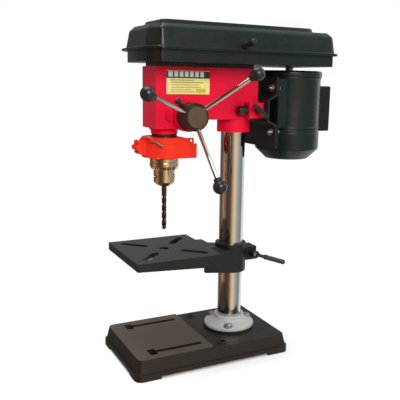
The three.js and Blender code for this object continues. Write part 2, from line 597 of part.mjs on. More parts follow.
function makeFeed() {
  const tail = -head.halfWidth - springCap.depth + springCap.wall + feed.tailClear;
  const pinionStart = -head.halfWidth + feed.inset;
  const pinionEnd = feedBossEnd - feed.inset / 2;
  const shaftEnd = hubStart + hub.socket;
  const shaftOutline = [
    [0, tail], [feed.tail, tail], [feed.tail, pinionStart], [feed.pinion, pinionStart],
    [feed.pinion, pinionEnd], [feed.journal, pinionEnd], [feed.journal, shaftEnd], [0, shaftEnd],
  ];
  piece('feed_shaft', 'steel', turnedX(shaftOutline, feedY, feedZ, sides.middle));

  const ring = barX(feedY, feedZ, [ringStart, ringStart + depthRing.width], depthRing.radius, sides.middle);
  const ringBore = barX(feedY, feedZ, [ringStart - over, hubStart], feed.journal + gap);
  const ringMiddle = ringStart + depthRing.width / 2;
  const radial = (radius) => {
    const [y, z] = around(radius, ringScrew.angle);
    return [ringMiddle, feedY + y, feedZ + z];
  };
  const tapped = rod(radial(0), radial(depthRing.radius + 2 * over), ringScrew.radius + gap, sides.tiny);
  piece('depth_ring', 'brownPlastic', cut(ring, ringBore, tapped));
  const shank = rod(radial(feed.journal + over), radial(ringScrew.reach - over), ringScrew.radius, sides.tiny);
  const thumbStart = radial(ringScrew.reach - ringScrew.headLength);
  const thumb = rod(thumbStart, radial(ringScrew.reach), ringScrew.head, sides.tiny);
  piece('depth_lock_screw', 'blackPlastic', shank.add(thumb));

  const hubOutline = [
    [0, hubStart], [hub.radius, hubStart], [hub.radius, hubFace - hub.cone],
    [hub.faceRadius + hub.edge, hubFace - hub.edge], [hub.faceRadius, hubFace], [0, hubFace],
  ];
  const socket = barX(feedY, feedZ, [hubStart - over, shaftEnd + gap], feed.journal + gap);
  const inBall = spoke.reach - ball.bore;
  const ballFoot = spoke.reach - ball.radius;
  const neckEnd = ballFoot - ball.neckLength;
  const spokeHoles = [];
  for (let i = 0; i < spoke.count; i += 1) {
    const angle = spoke.phase + (360 / spoke.count) * i;
    const at = (radius) => {
      const [y, z] = around(radius, angle);
      return [spokeApex + spoke.coneRise * radius, feedY + y, feedZ + z];
    };
    spokeHoles.push(rod(at(spoke.root - over), at(1.5 * hub.radius), spoke.radius + gap, sides.tiny));
    piece(`spoke_${i + 1}`, 'chrome', rod(at(spoke.root), at(inBall), spoke.radius, sides.tiny));
    const sphere = new THREE.SphereGeometry(ball.radius, sides.small, sides.tiny);
    sphere.translate(...at(spoke.reach));
    const neck = rod(at(neckEnd), at(ballFoot + ball.neckSeat), ball.neck, sides.tiny, ball.neckTop);
    const bore = rod(at(neckEnd - ball.boreLead), at(inBall + ball.boreEnd), spoke.radius + gap, sides.tiny);
    piece(`ball_knob_${i + 1}`, 'blackPlastic', cut(solid(sphere).add(neck), bore));
  }
  piece('feed_hub', 'brownPlastic', cut(turnedX(hubOutline, feedY, feedZ), socket, ...spokeHoles));

  const capEnd = -head.halfWidth - gap;
  const capFloor = capEnd - springCap.depth + springCap.wall;
  const capRoom = springCap.radius - springCap.wall;
  const cup = barX(feedY, feedZ, [capEnd - springCap.depth, capEnd], springCap.radius, sides.middle);
  const hollow = barX(feedY, feedZ, [capFloor, capEnd + over], capRoom, sides.middle);
  piece('spring_cap', 'blackPlastic', cup.subtract(hollow));
  piece('return_spring', 'steel', makeSpiral(capFloor + coil.inset));
}

// A flat clock spring: the band between two Archimedean spirals, one thickness apart.
function makeSpiral(start) {
  const steps = coil.facets * coil.turns;
  const edge = (extra) => Array.from({ length: steps + 1 }, (_, i) => {
    const radius = coil.inner + ((coil.outer - coil.inner) * i) / steps + extra;
    const [y, z] = around(radius, (360 * coil.turns * i) / steps);
    return [feedY + y, feedZ + z];
  });
  const outline = [...edge(0), ...edge(coil.thickness).reverse()];
  return sideways(outline, [start, start + coil.width]);
}

// Chuck guard

// Plan outline of a horseshoe round the spindle, open at the back.
function horseshoe(radius, back) {
  const shape = new THREE.Shape();
  shape.moveTo(radius, -throat + back);
  shape.lineTo(-radius, -throat + back);
  shape.lineTo(-radius, -throat);
  shape.absarc(0, -throat, radius, Math.PI, 2 * Math.PI);
  return shape;
}

function makeGuard() {
  const inner = guard.radius - guard.wall;
  const plateZ = [guardTop - guard.plate, guardTop];
  const skirtBottom = guardTop - guard.skirt;
  const bandTop = skirtBottom - gap;
  const pivotY = -throat - guard.radius - guard.pivotAhead;
  const pivotZ = guardTop - guard.pivotDrop;
  const legBack = guard.radius + guard.legBehind;
  const legs = legBack - guard.tab - guard.tabShort;
  const tabBack = -throat + legBack - guard.tabShort;
  const skirtZ = [skirtBottom - over, guardTop + over];

  const skirt = raised(horseshoe(guard.radius, legs), [skirtBottom, guardTop], guard.arcSteps);
  const skirtRoom = raised(horseshoe(inner, legs + over), [skirtBottom - over, plateZ[0]], guard.arcSteps);
  const plateTrim = block([-inner, inner], [-throat + guardHub, -throat + legs + over], skirtZ);
  const notchY = [-throat - guard.radius - over, -throat - guardHub - guard.notchWall];
  const notch = block([-guard.notch, guard.notch], notchY, skirtZ);
  const hubZ = [guardTop - guard.hubHeight, guardTop];
  const hubRing = post(0, -throat, hubZ, guardHub, sides.middle);
  const bore = post(0, -throat, [hubZ[0] - over, guardTop + over], quill.radius + gap, sides.middle);
  const lugHalf = guard.earInner - 2 * gap;
  const lugX = [-lugHalf, lugHalf];
  const lug = block(lugX, [pivotY + guard.lugSeat, -throat - guardHub + guard.lugSeat], hubZ);
  const lugEye = barX(pivotY, pivotZ, lugX, guard.eye);
  const lugArm = block(lugX, [pivotY, pivotY + guard.lugArm], [pivotZ, guardTop - guard.lugSeat]);
  const pin = barX(pivotY, pivotZ, [-guard.earOuter - over, guard.earOuter + over], guard.pin, sides.tiny);
  const tab = block([inner, guard.radius], [-throat + legs - over, tabBack], [skirtBottom, guardTop]);
  const tabHoleX = [inner - over, guard.radius + over];
  const tabHoleZ = guardTop - guard.skirt / 2;
  const tabHole = barX(tabBack - guard.tab / 2, tabHoleZ, tabHoleX, guard.pin, sides.tiny);

  const screwFrom = [
    guard.radius - clampScrew.topInset, -throat - guard.radius + clampScrew.topBehind,
    guardTop + clampScrew.topRise,
  ];
  const screwTo = [
    guard.radius + clampScrew.lowOut, -throat - guard.radius + clampScrew.lowBehind,
    skirtBottom - clampScrew.lowDrop,
  ];
  const screwAt = (t) => screwFrom.map((start, i) => start + (screwTo[i] - start) * t);
  const along = ([start, end], radius) => rod(screwAt(start), screwAt(end), radius, sides.tiny);
  const screwHole = along(clampScrew.holeRun, clampScrew.radius + gap);
  const clampBody = cut(join(cut(skirt, skirtRoom, plateTrim, notch), hubRing, lug, tab), bore, tabHole);
  const bossed = cut(clampBody.add(along(clampScrew.bossRun, clampScrew.boss)), bore, screwHole);
  piece('guard_clamp', 'orangePlastic', join(bossed, lugEye, lugArm, pin));
  const screwHead = along(clampScrew.headRun, clampScrew.head);
  piece('guard_clamp_screw', 'steel', along([0, 1], clampScrew.radius).add(screwHead));

  const bandZ = [bandTop - guard.bandHeight, bandTop];
  const band = raised(horseshoe(guard.radius, legBack), bandZ, guard.arcSteps);
  const bandRoom = raised(horseshoe(inner, legBack + over), [bandZ[0] - over, bandZ[1] + over], guard.arcSteps);
  const slotY = [-throat - guard.radius - over, -throat - guardHub - guard.notchWall];
  const lugSlot = block([-guard.earInner, guard.earInner], slotY, [pivotZ - guard.slot, bandZ[1] + over]);
  const ears = [-1, 1].map((hand) => {
    const x = [guard.earInner * hand, guard.earOuter * hand].sort((a, b) => a - b);
    const eye = barX(pivotY, pivotZ, x, guard.ear, sides.middle);
    const rootZ = [pivotZ - guard.ear, pivotZ + guard.earRoot];
    return eye.add(block(x, [pivotY, -throat - inner + over], rootZ));
  });
  const pinX = [-guard.earOuter - 2 * over, guard.earOuter + 2 * over];
  const pinHole = barX(pivotY, pivotZ, pinX, guard.pin + gap, sides.tiny);
  const bites = guard.bites.map((angle) => {
    const [y, z] = around(guard.ear + over, angle);
    return barX(pivotY + y, pivotZ + z, [-guard.earOuter - over, guard.earOuter + over], guard.bite, sides.small);
  });
  const chuckRoom = post(0, -throat, [bandZ[0] - over, guardTop + over], inner - guard.chuckClear, sides.middle);
  const frameBody = join(cut(band, bandRoom, lugSlot), ...ears);
  const screwRoom = along(clampScrew.roomRun, clampScrew.radius + 3 * gap);
  piece('guard_frame', 'orangePlastic', cut(frameBody, pinHole, chuckRoom, screwRoom, ...bites));
}

// Belt cover, pulleys and belt

const lipOutline = (grow) => slantedRectangle(
  [-cover.halfWidth - grow, cover.halfWidth + grow], [coverFront - grow, coverBack + grow],
  cover.corner + grow,
);

function knuckles(owner) {
  const x = -cover.halfWidth - cover.lip - hinge.barrel + over;
  const half = hinge.gapLength / 2;
  const middle = [hinge.centre - half + gap, hinge.centre + half - gap];
  const outer = [
    [hinge.centre - half - hinge.knuckle, hinge.centre - half],
    [hinge.centre + half, hinge.centre + half + hinge.knuckle],
  ];
  const z = panTop + gap / 2;
  const own = owner === 'lid' ? [middle] : outer;
  const other = owner === 'lid' ? outer : [middle];
  return {
    add: own.map((y) => barY(x, z, y, hinge.barrel, sides.tiny)),
    clear: other.map((y) => barY(
      x, z, [y[0] - hinge.endGap, y[1] + hinge.endGap], hinge.barrel + 2 * gap, sides.tiny,
    )),
    bore: barY(x, z, [outer[0][0] - over, outer[1][1] + over], hinge.pin + gap, sides.tiny),
    pin: barY(
      x, z, [outer[0][0] - hinge.pinProud, outer[1][1] + hinge.pinProud], hinge.pin, sides.tiny,
    ),
  };
}

function makePan() {
  const wallTop = panFloor + cover.pan;
  const { wall } = cover;
  const tray = raised(lipOutline(0), [panFloor, wallTop + over]);
  const room = raised(lipOutline(-wall), [panFloor + wall, panTop + over]);
  const lip = raised(lipOutline(cover.lip), [wallTop, panTop]);
  const half = cover.padWidth / 2;
  const padY = [-headNose + cover.padFront, head.back - cover.padBack];
  const pad = block([-half, half], padY, [panFloor - cover.padDrop, panFloor + over]);
  const padRoom = block(
    [-half + wall, half - wall], [padY[0] + wall, padY[1] - wall],
    [panFloor - cover.padDrop + wall, panFloor + wall + over],
  );
  const holeRadius = quill.radius + cover.holeMargin;
  const spindleHole = post(0, -throat, [headTop - over, panTop], holeRadius, sides.middle);
  const slotY = [motorBack - shaftSlot.half, motorBack + shaftSlot.run];
  const slotPlan = roundedRectangle([-shaftSlot.half, shaftSlot.half], slotY, shaftSlot.corner);
  const motorSlot = raised(slotPlan, [panFloor - over, panFloor + wall + over]);
  const joints = knuckles('pan');
  const shell = join(cut(tray.add(lip), room).add(pad), ...joints.add);
  piece('belt_pan', 'blackPaint', cut(shell, padRoom, spindleHole, motorSlot, joints.bore, ...joints.clear));
  piece('lid_hinge_pin', 'steel', joints.pin);
}

function makeLid() {
  const { wall } = cover;
  const lip = raised(lipOutline(cover.lip), [lidBottom, lidBottom + cover.lipHeight]);
  const shoulderZ = lidBottom + cover.lidWall;
  const roofZ = shoulderZ + cover.lidShoulder;
  const shell = (shrink) => {
    const x = [-cover.halfWidth - cover.lidInset + shrink, cover.halfWidth + cover.lidInset - shrink];
    const y = [coverFront - cover.lidInset + shrink, coverBack + cover.lidInset - shrink];
    const radius = cover.corner - shrink;
    const draft = cover.lidDraft;
    const lowZ = [lidBottom - (shrink ? over : 0), shoulderZ];
    const low = drafted(x, y, lowZ, radius, draft, slantedRectangle);
    const innerX = [x[0] + draft, x[1] - draft];
    const innerY = [y[0] + draft, y[1] - draft];
    const highZ = [shoulderZ - cover.seam, roofZ - shrink];
    const high = drafted(innerX, innerY, highZ, radius, cover.lidShoulderInset, slantedRectangle);
    return low.add(high);
  };
  const half = cover.panelWidth / 2;
  const panel = (shrink) => drafted(
    [-half + shrink, half - shrink],
    [coverFront + cover.panelFront + shrink, coverBack - cover.panelBack - shrink],
    [roofZ - 2 * wall, roofZ + cover.panelHeight - shrink], cover.panelCorner, cover.panelDraft,
  );
  const joints = knuckles('lid');
  const outside = join(shell(0), lip, panel(0), ...joints.add);
  const tilt = turn(lidKnob.tilt);
  const knobZ = lidBottom + lidKnob.rise;
  const wallX = cover.halfWidth + cover.lidInset - cover.lidDraft * (lidKnob.rise / cover.lidWall);
  const along = (distance) => [
    wallX + distance * Math.cos(tilt), lidKnob.back, knobZ + distance * Math.sin(tilt),
  ];
  const studHole = rod(...lidKnob.hole.map(along), lidKnob.stud + gap, sides.tiny);
  const cableX = [cover.halfWidth - cableHole.depth, cover.halfWidth + cableHole.depth];
  const cableWay = barX(cableHole.back, lidBottom + cableHole.rise, cableX, cableHole.radius, sides.tiny);
  const cuts = [shell(wall), panel(wall), studHole, cableWay, joints.bore, ...joints.clear];
  piece('cover_lid', 'blackPaint', cut(outside, ...cuts));
  const grip = rod(along(over), along(lidKnob.length), lidKnob.radius, sides.small);
  const stud = rod(along(-lidKnob.studIn), along(lidKnob.studOut), lidKnob.stud, sides.tiny);
  piece('lid_knob', 'blackPlastic', grip.add(stud));
}

// A cone pulley, listed from the bottom step up, with the groove of the step that carries the belt.
function conePulley(radii, y, bore, hubProfile) {
  const outline = [
    [bore, hubProfile.bottom], [hubProfile.radius, hubProfile.bottom], [hubProfile.radius, pulleyBottom],
  ];
  radii.forEach((radius, i) => {
    const z = pulleyBottom + i * pulley.stepHeight;
    const top = z + pulley.stepHeight;
    outline.push([radius, z]);
    if (i === belt.step) {
      const land = (pulley.stepHeight - pulley.groove) / 2;
      outline.push([radius, z + land], [radius - pulley.grooveDepth, z + land]);
      outline.push([radius - pulley.grooveDepth, top - land], [radius, top - land]);
    }
    outline.push([radius, top]);
  });
  outline.push([bore, pulleyTop], [bore, hubProfile.bottom]);
  return turned(outline, 0, y, sides.middle);
}

function beltLoop(spindleRadius, motorRadius) {
  const distance = throat + motorBack;
  const lean = Math.asin((spindleRadius - motorRadius) / distance);
  const shape = new THREE.Shape();
  shape.absarc(0, -throat, spindleRadius, Math.PI - lean, 2 * Math.PI + lean);
  shape.absarc(0, motorBack, motorRadius, lean, Math.PI - lean);
  return shape;
}

function makePulleys() {
  const count = pulley.steps;
  const spindleRadii = Array.from({ length: count }, (_, i) => pulley.small + pulley.rise * (count - 1 - i));
  const motorRadii = Array.from({ length: count }, (_, i) => pulley.motorSmall + pulley.rise * i);
  const spindleHub = { bottom: headTop - pulley.hubDrop, radius: quill.radius - gap };
  piece('spindle_pulley', 'aluminium', conePulley(spindleRadii, -throat, spindle.radius + gap, spindleHub));
  const motorHub = { bottom: pulleyBottom - over, radius: pulley.motorHub };
  piece('motor_pulley', 'aluminium', conePulley(motorRadii, motorBack, motor.shaft + gap, motorHub));

  const outer = [spindleRadii[belt.step], motorRadii[belt.step]].map((radius) => radius - belt.rest);
  const inner = outer.map((radius) => radius - belt.thickness);
  const middle = pulleyBottom + (belt.step + 0.5) * pulley.stepHeight;
  const z = [middle - belt.width / 2, middle + belt.width / 2];
  const loop = raised(beltLoop(...outer), z, belt.arcSteps);
  const room = raised(beltLoop(...inner), [z[0] - over, z[1] + over], belt.arcSteps);
  piece('v_belt', 'rubber', loop.subtract(room));
}

// Motor and its slide

function makeMotor() {
  const { front, plate: thick, joggle } = bracket;
  const middle = front - joggle;
  const joggleZ = [barZ - bracket.joggleHeight / 2, barZ + bracket.joggleHeight / 2];
  const joggled = [
    [front, footBottom], [front + thick, footBottom], [front + thick, joggleZ[0] - bracket.bend],
    [middle + thick, joggleZ[0]], [middle + thick, joggleZ[1]],
    [front + thick, joggleZ[1] + bracket.bend], [front + thick, bodyTop], [front, bodyTop],
    [front, joggleZ[1] + bracket.bend + thick], [middle, joggleZ[1] + bracket.bendInset],
    [middle, joggleZ[0] - bracket.bendInset], [front, joggleZ[0] - bracket.bend - thick],
  ];
  const boltZ = [footBottom + motorBolt.fromBottom, bodyTop - motorBolt.fromTop];
  const boltX = halfFoot - motorBolt.fromEdge;
  const mountingBolts = [
    ['motor_bolt_1', boltX, boltZ[1]], ['motor_bolt_2', -boltX, boltZ[1]],
    ['motor_bolt_3', boltX, boltZ[0]], ['motor_bolt_4', -boltX, boltZ[0]],
  ];
  const boltRoom = motorBolt.radius + screwClearance;
  const boltY = [middle - over, footFront + motor.foot + 2 * motor.wall];
  const boltHoles = mountingBolts.map(([, x, z]) => barY(x, z, boltY, boltRoom, sides.tiny));
  const studY = [middle - over, middle + thick + over];
  const studHoles = [-1, 1].map((hand) => barY(
    hand * slideBar.offset, barZ, studY, slideBar.stud + gap, slideBar.facets,
  ));
  piece('motor_bracket', 'blackPaint', cut(sideways(joggled, [-halfFoot, halfFoot]), ...boltHoles, ...studHoles));

  const foot = block([-halfFoot, halfFoot], [footFront, footFront + motor.foot], [footBottom, bodyTop]);
  const tube = post(0, motorBack, [bodyBottom, bodyTop], motor.radius, sides.large);
  const insideZ = [bodyBottom - over, bodyTop + over];
  const inside = post(0, motorBack, insideZ, motor.radius - motor.wall, sides.large);
  piece('motor_housing', 'blackPaint', cut(tube.subtract(inside).add(foot), ...boltHoles, inside));

  const bellTop = bodyBottom - gap;
  const rim = motor.radius;
  const low = rim - motor.chamfer;
  const { wall } = motor;
  const bearing = motor.shaft + gap;
  const bellOutline = [
    [bearing, bellBottom], [low, bellBottom], [rim, bellBottom + motor.chamferHeight], [rim, bellTop],
    [rim - wall, bellTop], [rim - wall, bellBottom + motor.chamferHeight + motor.bellLining],
    [low - motor.bellLining, bellBottom + wall], [bearing, bellBottom + wall], [bearing, bellBottom],
  ];
  const footRoom = block(
    [-halfFoot - over, halfFoot + over], [0, footFront + motor.foot + gap], [footBottom - gap, bellTop + over],
  );
  piece('motor_end_bell', 'blackPaint', turned(bellOutline, 0, motorBack, sides.large).subtract(footRoom));
  const capBore = bearing + motor.capBore;
  const capOutline = [
    [capBore, motorTop - wall], [rim - wall, motorTop - wall], [rim - wall, bodyTop + gap],
    [rim + motor.capRim, bodyTop + gap], [rim + motor.capRim, motorTop - motor.capEdge],
    [rim - motor.capInset, motorTop], [capBore, motorTop], [capBore, motorTop - wall],
  ];
  piece('motor_top_cap', 'blackPaint', turned(capOutline, 0, motorBack, sides.large));
  const boxZ = [bodyBottom - capacitor.belowBody, bodyTop - capacitor.fromTop];
  const drumBack = motorBack + motor.radius;
  const shell = block(
    [-capacitor.halfWidth, capacitor.halfWidth],
    [drumBack - capacitor.depth + capacitor.sink, drumBack + capacitor.depth], boxZ,
  );
  const drumRoom = post(0, motorBack, [boxZ[0] - over, boxZ[1] + over], motor.radius + gap, sides.large);
  piece('capacitor_box', 'blackPlastic', shell.subtract(drumRoom));

  for (const [name, x, z] of mountingBolts) {
    const headFace = footFront + motor.foot + gap;
    const nutFace = front - gap;
    const shank = barY(x, z, [nutFace - motorBolt.tip, headFace + over], motorBolt.radius, sides.tiny);
    const hex = barY(x, z, [headFace, headFace + motorBolt.headHeight], motorBolt.head, hexagon);
    const nut = barY(x, z, [nutFace - motorBolt.headHeight, nutFace], motorBolt.head, hexagon);
    piece(name, 'steel', join(shank, hex, nut));
  }
  ['left', 'right'].forEach((side, i) => {
    const x = slideBar.offset * (2 * i - 1);
    const end = middle - gap;
    const bar = barY(x, barZ, [slideBar.front, end], slideBar.radius);
    const nutFace = middle + thick + gap;
    const nutEnd = nutFace + slideBar.nutHeight;
    const stud = barY(x, barZ, [end - over, nutEnd + slideBar.end], slideBar.stud, sides.tiny);
    const nut = barY(x, barZ, [nutFace, nutEnd], slideBar.nut, hexagon);
    piece(`slide_bar_${side}`, 'darkSteel', join(bar, stud, nut));
  });

  const coreZ = [bodyBottom + motor.rotorEnd, bodyTop - motor.rotorEnd];
  const core = post(0, motorBack, coreZ, motor.rotor, sides.middle);
  const shaft = post(0, motorBack, [bellBottom + motor.shaftEnd, pulleyTop], motor.shaft);
  piece('motor_shaft', 'steel', core.add(shaft));

  const wingX = barBoss.outer + gap;
  const wingEnd = wingX + wing.length;
  const screwX = [slideBar.offset + slideBar.radius + gap, wingEnd];
  const screw = barX(wing.back, barZ, screwX, wing.radius, sides.tiny);
  const collarDisc = barX(wing.back, barZ, [wingX + wing.collarStart, wingEnd], wing.collar, sides.tiny);
  const bladeX = [wingX + wing.bladeStart, wingX + wing.bladeStart + wing.blade];
  const blade = block(bladeX, [-wing.span / 2, wing.span / 2], [-wing.thickness / 2, wing.thickness / 2]);
  const turnedBlade = blade.rotate([-wing.tilt, 0, 0]).translate([0, wing.back, barZ]);
  piece('tension_wing_screw', 'blackPlastic', join(screw, collarDisc, turnedBlade));
}

// Work table

function makeTable() {
  const half = table.size / 2;
  const [front, back] = [-throat - half, -throat + half];
  const { top } = table;
  const lowFront = top - table.skirtFront;
  const lowBack = top - table.skirtBack;
  const slabSide = [[front, lowFront], [back, lowBack], [back, top], [front, top]];
  const { wall } = table;
  const under = top - table.deck;
  const roomSide = [[front + wall, 0], [back - wall, 0], [back - wall, under], [front + wall, under]];
  const slab = sideways(slabSide, [-half, half]);
  const room = sideways(roomSide, [-half + wall, half - wall]);
  const collarZ = [tableCollarTop - table.collarHeight, tableCollarTop];
  const armHalf = table.armWidth / 2;
  const armBack = -table.armStart;
  const armTop = top - table.armDrop;
  const armSide = [
    [back - table.armStart, collarZ[0] + table.armFootRear], [armBack, collarZ[0] + table.armFootFront],
    [armBack, armTop - table.armSlope], [back + table.level + table.armRun, armTop],
    [back + table.level, top], [back - table.armStart, top],
  ];
  const roomBack = -column.radius - table.armRoomWall;
  const roomStart = back - 2 * table.armStart;
  const armRoomX = [-armHalf + wall, armHalf - wall];
  const armRoomTop = under - table.armSlope;
  const armRoomSide = [
    [roomStart, 0], [roomBack, 0], [roomBack, armRoomTop - table.armDrop], [roomStart, armRoomTop],
  ];
  const throughWall = [
    [roomStart - over, 0], [back - table.armStart + over, 0], [back - table.armStart + over, armRoomTop],
    [roomStart - over, armRoomTop],
  ];
  const arm = sideways(armSide, [-armHalf, armHalf]);
  const collar = post(0, 0, collarZ, tableCollar, sides.middle);
  const ribY = [front + table.ribInset, back - table.ribInset];
  const rib = block([-wall / 2, wall / 2], ribY, [under - table.ribDepth, under + over]);
  const bossZ = [under - table.bossDepth, under + over];
  const hubBoss = post(0, -throat, bossZ, table.hole + table.holeBoss, sides.middle);
  const boltZ = tableCollarTop - table.boltDrop;
  const boltY = column.radius + table.boltOut;
  const lugBack = column.radius + table.lugOut;
  const lugZ = [boltZ - table.lugHeight / 2, boltZ + table.lugHeight / 2];
  const lugs = block([-table.lug, table.lug], [column.radius, lugBack], lugZ);
  const slitY = [column.radius - 5 * over, lugBack + over];
  const slit = block([-table.slit / 2, table.slit / 2], slitY, [collarZ[0] - over, collarZ[1] + over]);
  const clampRoom = table.boltRadius + screwClearance;
  const boltHole = barX(boltY, boltZ, [-table.lug - over, table.lug + over], clampRoom, sides.tiny);
  const bore = post(0, 0, [collarZ[0] - over, top + over], column.radius + gap, sides.large);
  const hole = post(0, -throat, [0, top + over], table.hole, sides.middle);
  const middle = (table.slotStart + table.slotEnd) / Math.SQRT2;
  const halfLength = (table.slotEnd - table.slotStart) / Math.SQRT2;
  const slotHalf = table.slotWidth / 2;
  const slotPlan = roundedRectangle(
    [middle - halfLength, middle + halfLength], [-slotHalf, slotHalf], slotHalf - table.slotEase,
  );
  const slot = raised(slotPlan, [0, top + over], table.slotSteps);
  const slots = [45, 135, 225, 315].map((angle) => slot.rotate([0, 0, angle]).translate([0, -throat, 0]));
  const hollowArm = arm.subtract(sideways(armRoomSide, armRoomX));
  const shell = join(slab.subtract(room), hollowArm, rib, hubBoss, collar, lugs);
  const cuts = [sideways(throughWall, armRoomX), bore, slit, boltHole, hole, ...slots];
  piece('table', 'blackCasting', cut(shell, ...cuts));

  const headX = -table.lug - gap;
  const hubX = [table.lug + gap, table.lug + gap + lever.hubLength];
  const shankEnd = hubX[1] - lever.boltShort;
  const bolt = barX(boltY, boltZ, [headX - over, shankEnd], table.boltRadius, sides.tiny);
  const hex = barX(boltY, boltZ, [headX - table.boltHeadHeight, headX], table.boltHead, hexagon);
  piece('table_clamp_bolt', 'steel', bolt.add(hex));
  const boss = barX(boltY, boltZ, hubX, lever.hub, sides.small);
  const armStart = [hubX[1] - lever.root, boltY, boltZ];
  const armEnd = [armStart[0] + lever.splay, boltY + lever.reach, boltZ - lever.fall];
  const partWay = armStart.map((start, i) => start + (armEnd[i] - start) * lever.gripStart);
  const stem = rod(armStart, armEnd, lever.stem, sides.tiny);
  const grip = rod(partWay, armEnd, lever.grip, sides.tiny);
  const boltRoom = barX(boltY, boltZ, [hubX[0] - over, shankEnd + gap], clampRoom, sides.tiny);
  piece('table_lever', 'blackPlastic', join(boss, stem, grip).subtract(boltRoom));
}

makeBase();
makeColumn();
makeHead();
makeSwitch();
makeQuill();
makeSpindle();
makeFeed();
makeGuard();
makePan();
makeLid();
makePulleys();
makeMotor();
makeTable();

const box = new THREE.Box3().setFromObject(press);
const centre = box.getCenter(new THREE.Vector3());
press.position.set(-centre.x, -centre.y, 0);
press.updateMatrixWorld(true);

export default press;
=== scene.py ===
import math
import bpy
import bmesh
import numpy as np
from mathutils import Matrix, Vector


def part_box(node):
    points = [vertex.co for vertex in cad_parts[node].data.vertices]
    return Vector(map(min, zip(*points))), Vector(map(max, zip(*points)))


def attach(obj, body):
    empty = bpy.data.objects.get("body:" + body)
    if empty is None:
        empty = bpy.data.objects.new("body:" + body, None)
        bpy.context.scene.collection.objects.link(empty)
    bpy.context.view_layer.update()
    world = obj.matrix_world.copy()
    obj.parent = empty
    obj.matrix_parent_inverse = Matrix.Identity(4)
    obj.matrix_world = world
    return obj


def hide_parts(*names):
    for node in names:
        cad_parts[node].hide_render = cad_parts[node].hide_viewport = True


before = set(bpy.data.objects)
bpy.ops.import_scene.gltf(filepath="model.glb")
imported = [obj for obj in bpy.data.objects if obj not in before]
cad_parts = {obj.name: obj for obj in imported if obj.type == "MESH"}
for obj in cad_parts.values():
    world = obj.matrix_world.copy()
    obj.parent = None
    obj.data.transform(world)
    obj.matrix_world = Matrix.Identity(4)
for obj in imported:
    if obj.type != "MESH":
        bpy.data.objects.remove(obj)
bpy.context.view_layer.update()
print("frame loaded")

# All lengths below are millimetres from the column axis, with z up from the bench.

mm = 0.001
toRight, toLeft, toRear, toFront = (1, 0, 0), (-1, 0, 0), (0, 1, 0), (0, -1, 0)
mergeWithin = 2e-6           # metres; closes seams and poles
columnBox = [np.array(corner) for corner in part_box("column")]
columnAxis = (columnBox[0] + columnBox[1]) / 2 * [1, 1, 0]


# Lowest and highest corner of a CAD node, in millimetres from the column axis.
def span(node):
    low, high = [np.array(corner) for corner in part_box(node)]
    return (low - columnAxis) / mm, (high - columnAxis) / mm


def toFrame(points):
    return np.asarray(points, float) * mm + columnAxis


def middle(node):
    low, high = span(node)
    return (low + high) / 2


# Surface builders.


# Profile with each corner replaced by a short parabola that starts `radius` before it.
def rounded(corners, radius, closed=True, steps=4):
    corners = np.array(corners, float)
    made = []
    for i, corner in enumerate(corners):
        if not closed and i in (0, len(corners) - 1):
            made.append(corner[None])
            continue
        back, ahead = corners[i - 1] - corner, corners[(i + 1) % len(corners)] - corner
        reachBack = min(radius, 0.45 * np.linalg.norm(back)) / max(np.linalg.norm(back), 1e-9)
        reachAhead = min(radius, 0.45 * np.linalg.norm(ahead)) / max(np.linalg.norm(ahead), 1e-9)
        t = np.linspace(0, 1, steps)[:, None]
        start, end = corner + back * reachBack, corner + ahead * reachAhead
        made.append((1 - t) ** 2 * start + 2 * t * (1 - t) * corner + t ** 2 * end)
    return np.concatenate(made)


# Each [radius, height] of the profile carried round +Z: x = r cos a, y = r sin a, z = h.
def lathe(profile, around=96):
    profile = np.asarray(profile, float)
    angle = np.arange(around) * 2 * np.pi / around
    radius, height = profile[:, :1], profile[:, 1:]
    return np.stack([radius * np.cos(angle), radius * np.sin(angle), height + 0 * angle], -1)


# Turns local +Z to the axis and moves the surface to its origin.
def aim(points, origin, axis=(0, 0, 1)):
    turn = Vector((0, 0, 1)).rotation_difference(Vector(axis)).to_matrix()
    return points @ np.array(turn).T + np.array(origin, float)


# Circles of the given radii carried along a path, square to it.
def tube(path, radii, around=16, up=(0, 0, 1)):
    path = np.asarray(path, float)
    tangent = np.gradient(path, axis=0)
    tangent /= np.linalg.norm(tangent, axis=1, keepdims=True)
    side = np.cross(tangent, np.array(up, float))
    side /= np.linalg.norm(side, axis=1, keepdims=True)
    other = np.cross(side, tangent)
    angle = np.arange(around) * 2 * np.pi / around
    ring = side[:, None] * np.cos(angle)[None, :, None] + other[:, None] * np.sin(angle)[None, :, None]
    return path[:, None] + ring * np.asarray(radii, float)[:, None, None]


# Rounded rectangle in plan, the same number of points for every size.
def outline(x, y, radius, corner=8, edge=6):
    made = []
    centres = [(x[1] - radius, y[0] + radius, -90), (x[1] - radius, y[1] - radius, 0),
               (x[0] + radius, y[1] - radius, 90), (x[0] + radius, y[0] + radius, 180)]
    for cx, cy, start in centres:
        angle = np.radians(start + np.linspace(0, 90, corner))
        made.append(np.stack([cx + radius * np.cos(angle), cy + radius * np.sin(angle)], 1))
    whole = []
    for i, arc in enumerate(made):
        whole.append(arc)
        t = np.linspace(0, 1, edge + 2)[1:-1, None]
        whole.append(arc[-1] * (1 - t) + made[(i + 1) % 4][0] * t)
    return np.concatenate(whole)


# Rounded rectangles (x, y, radius, z) stacked one above another.
def loft(stations, corner=8, edge=6):
    rows = []
    for x, y, radius, z in stations:
        plan = outline(x, y, radius, corner, edge)
        rows.append(np.column_stack([plan, np.full(len(plan), z)]))
    return np.array(rows)


pieceCount = 0


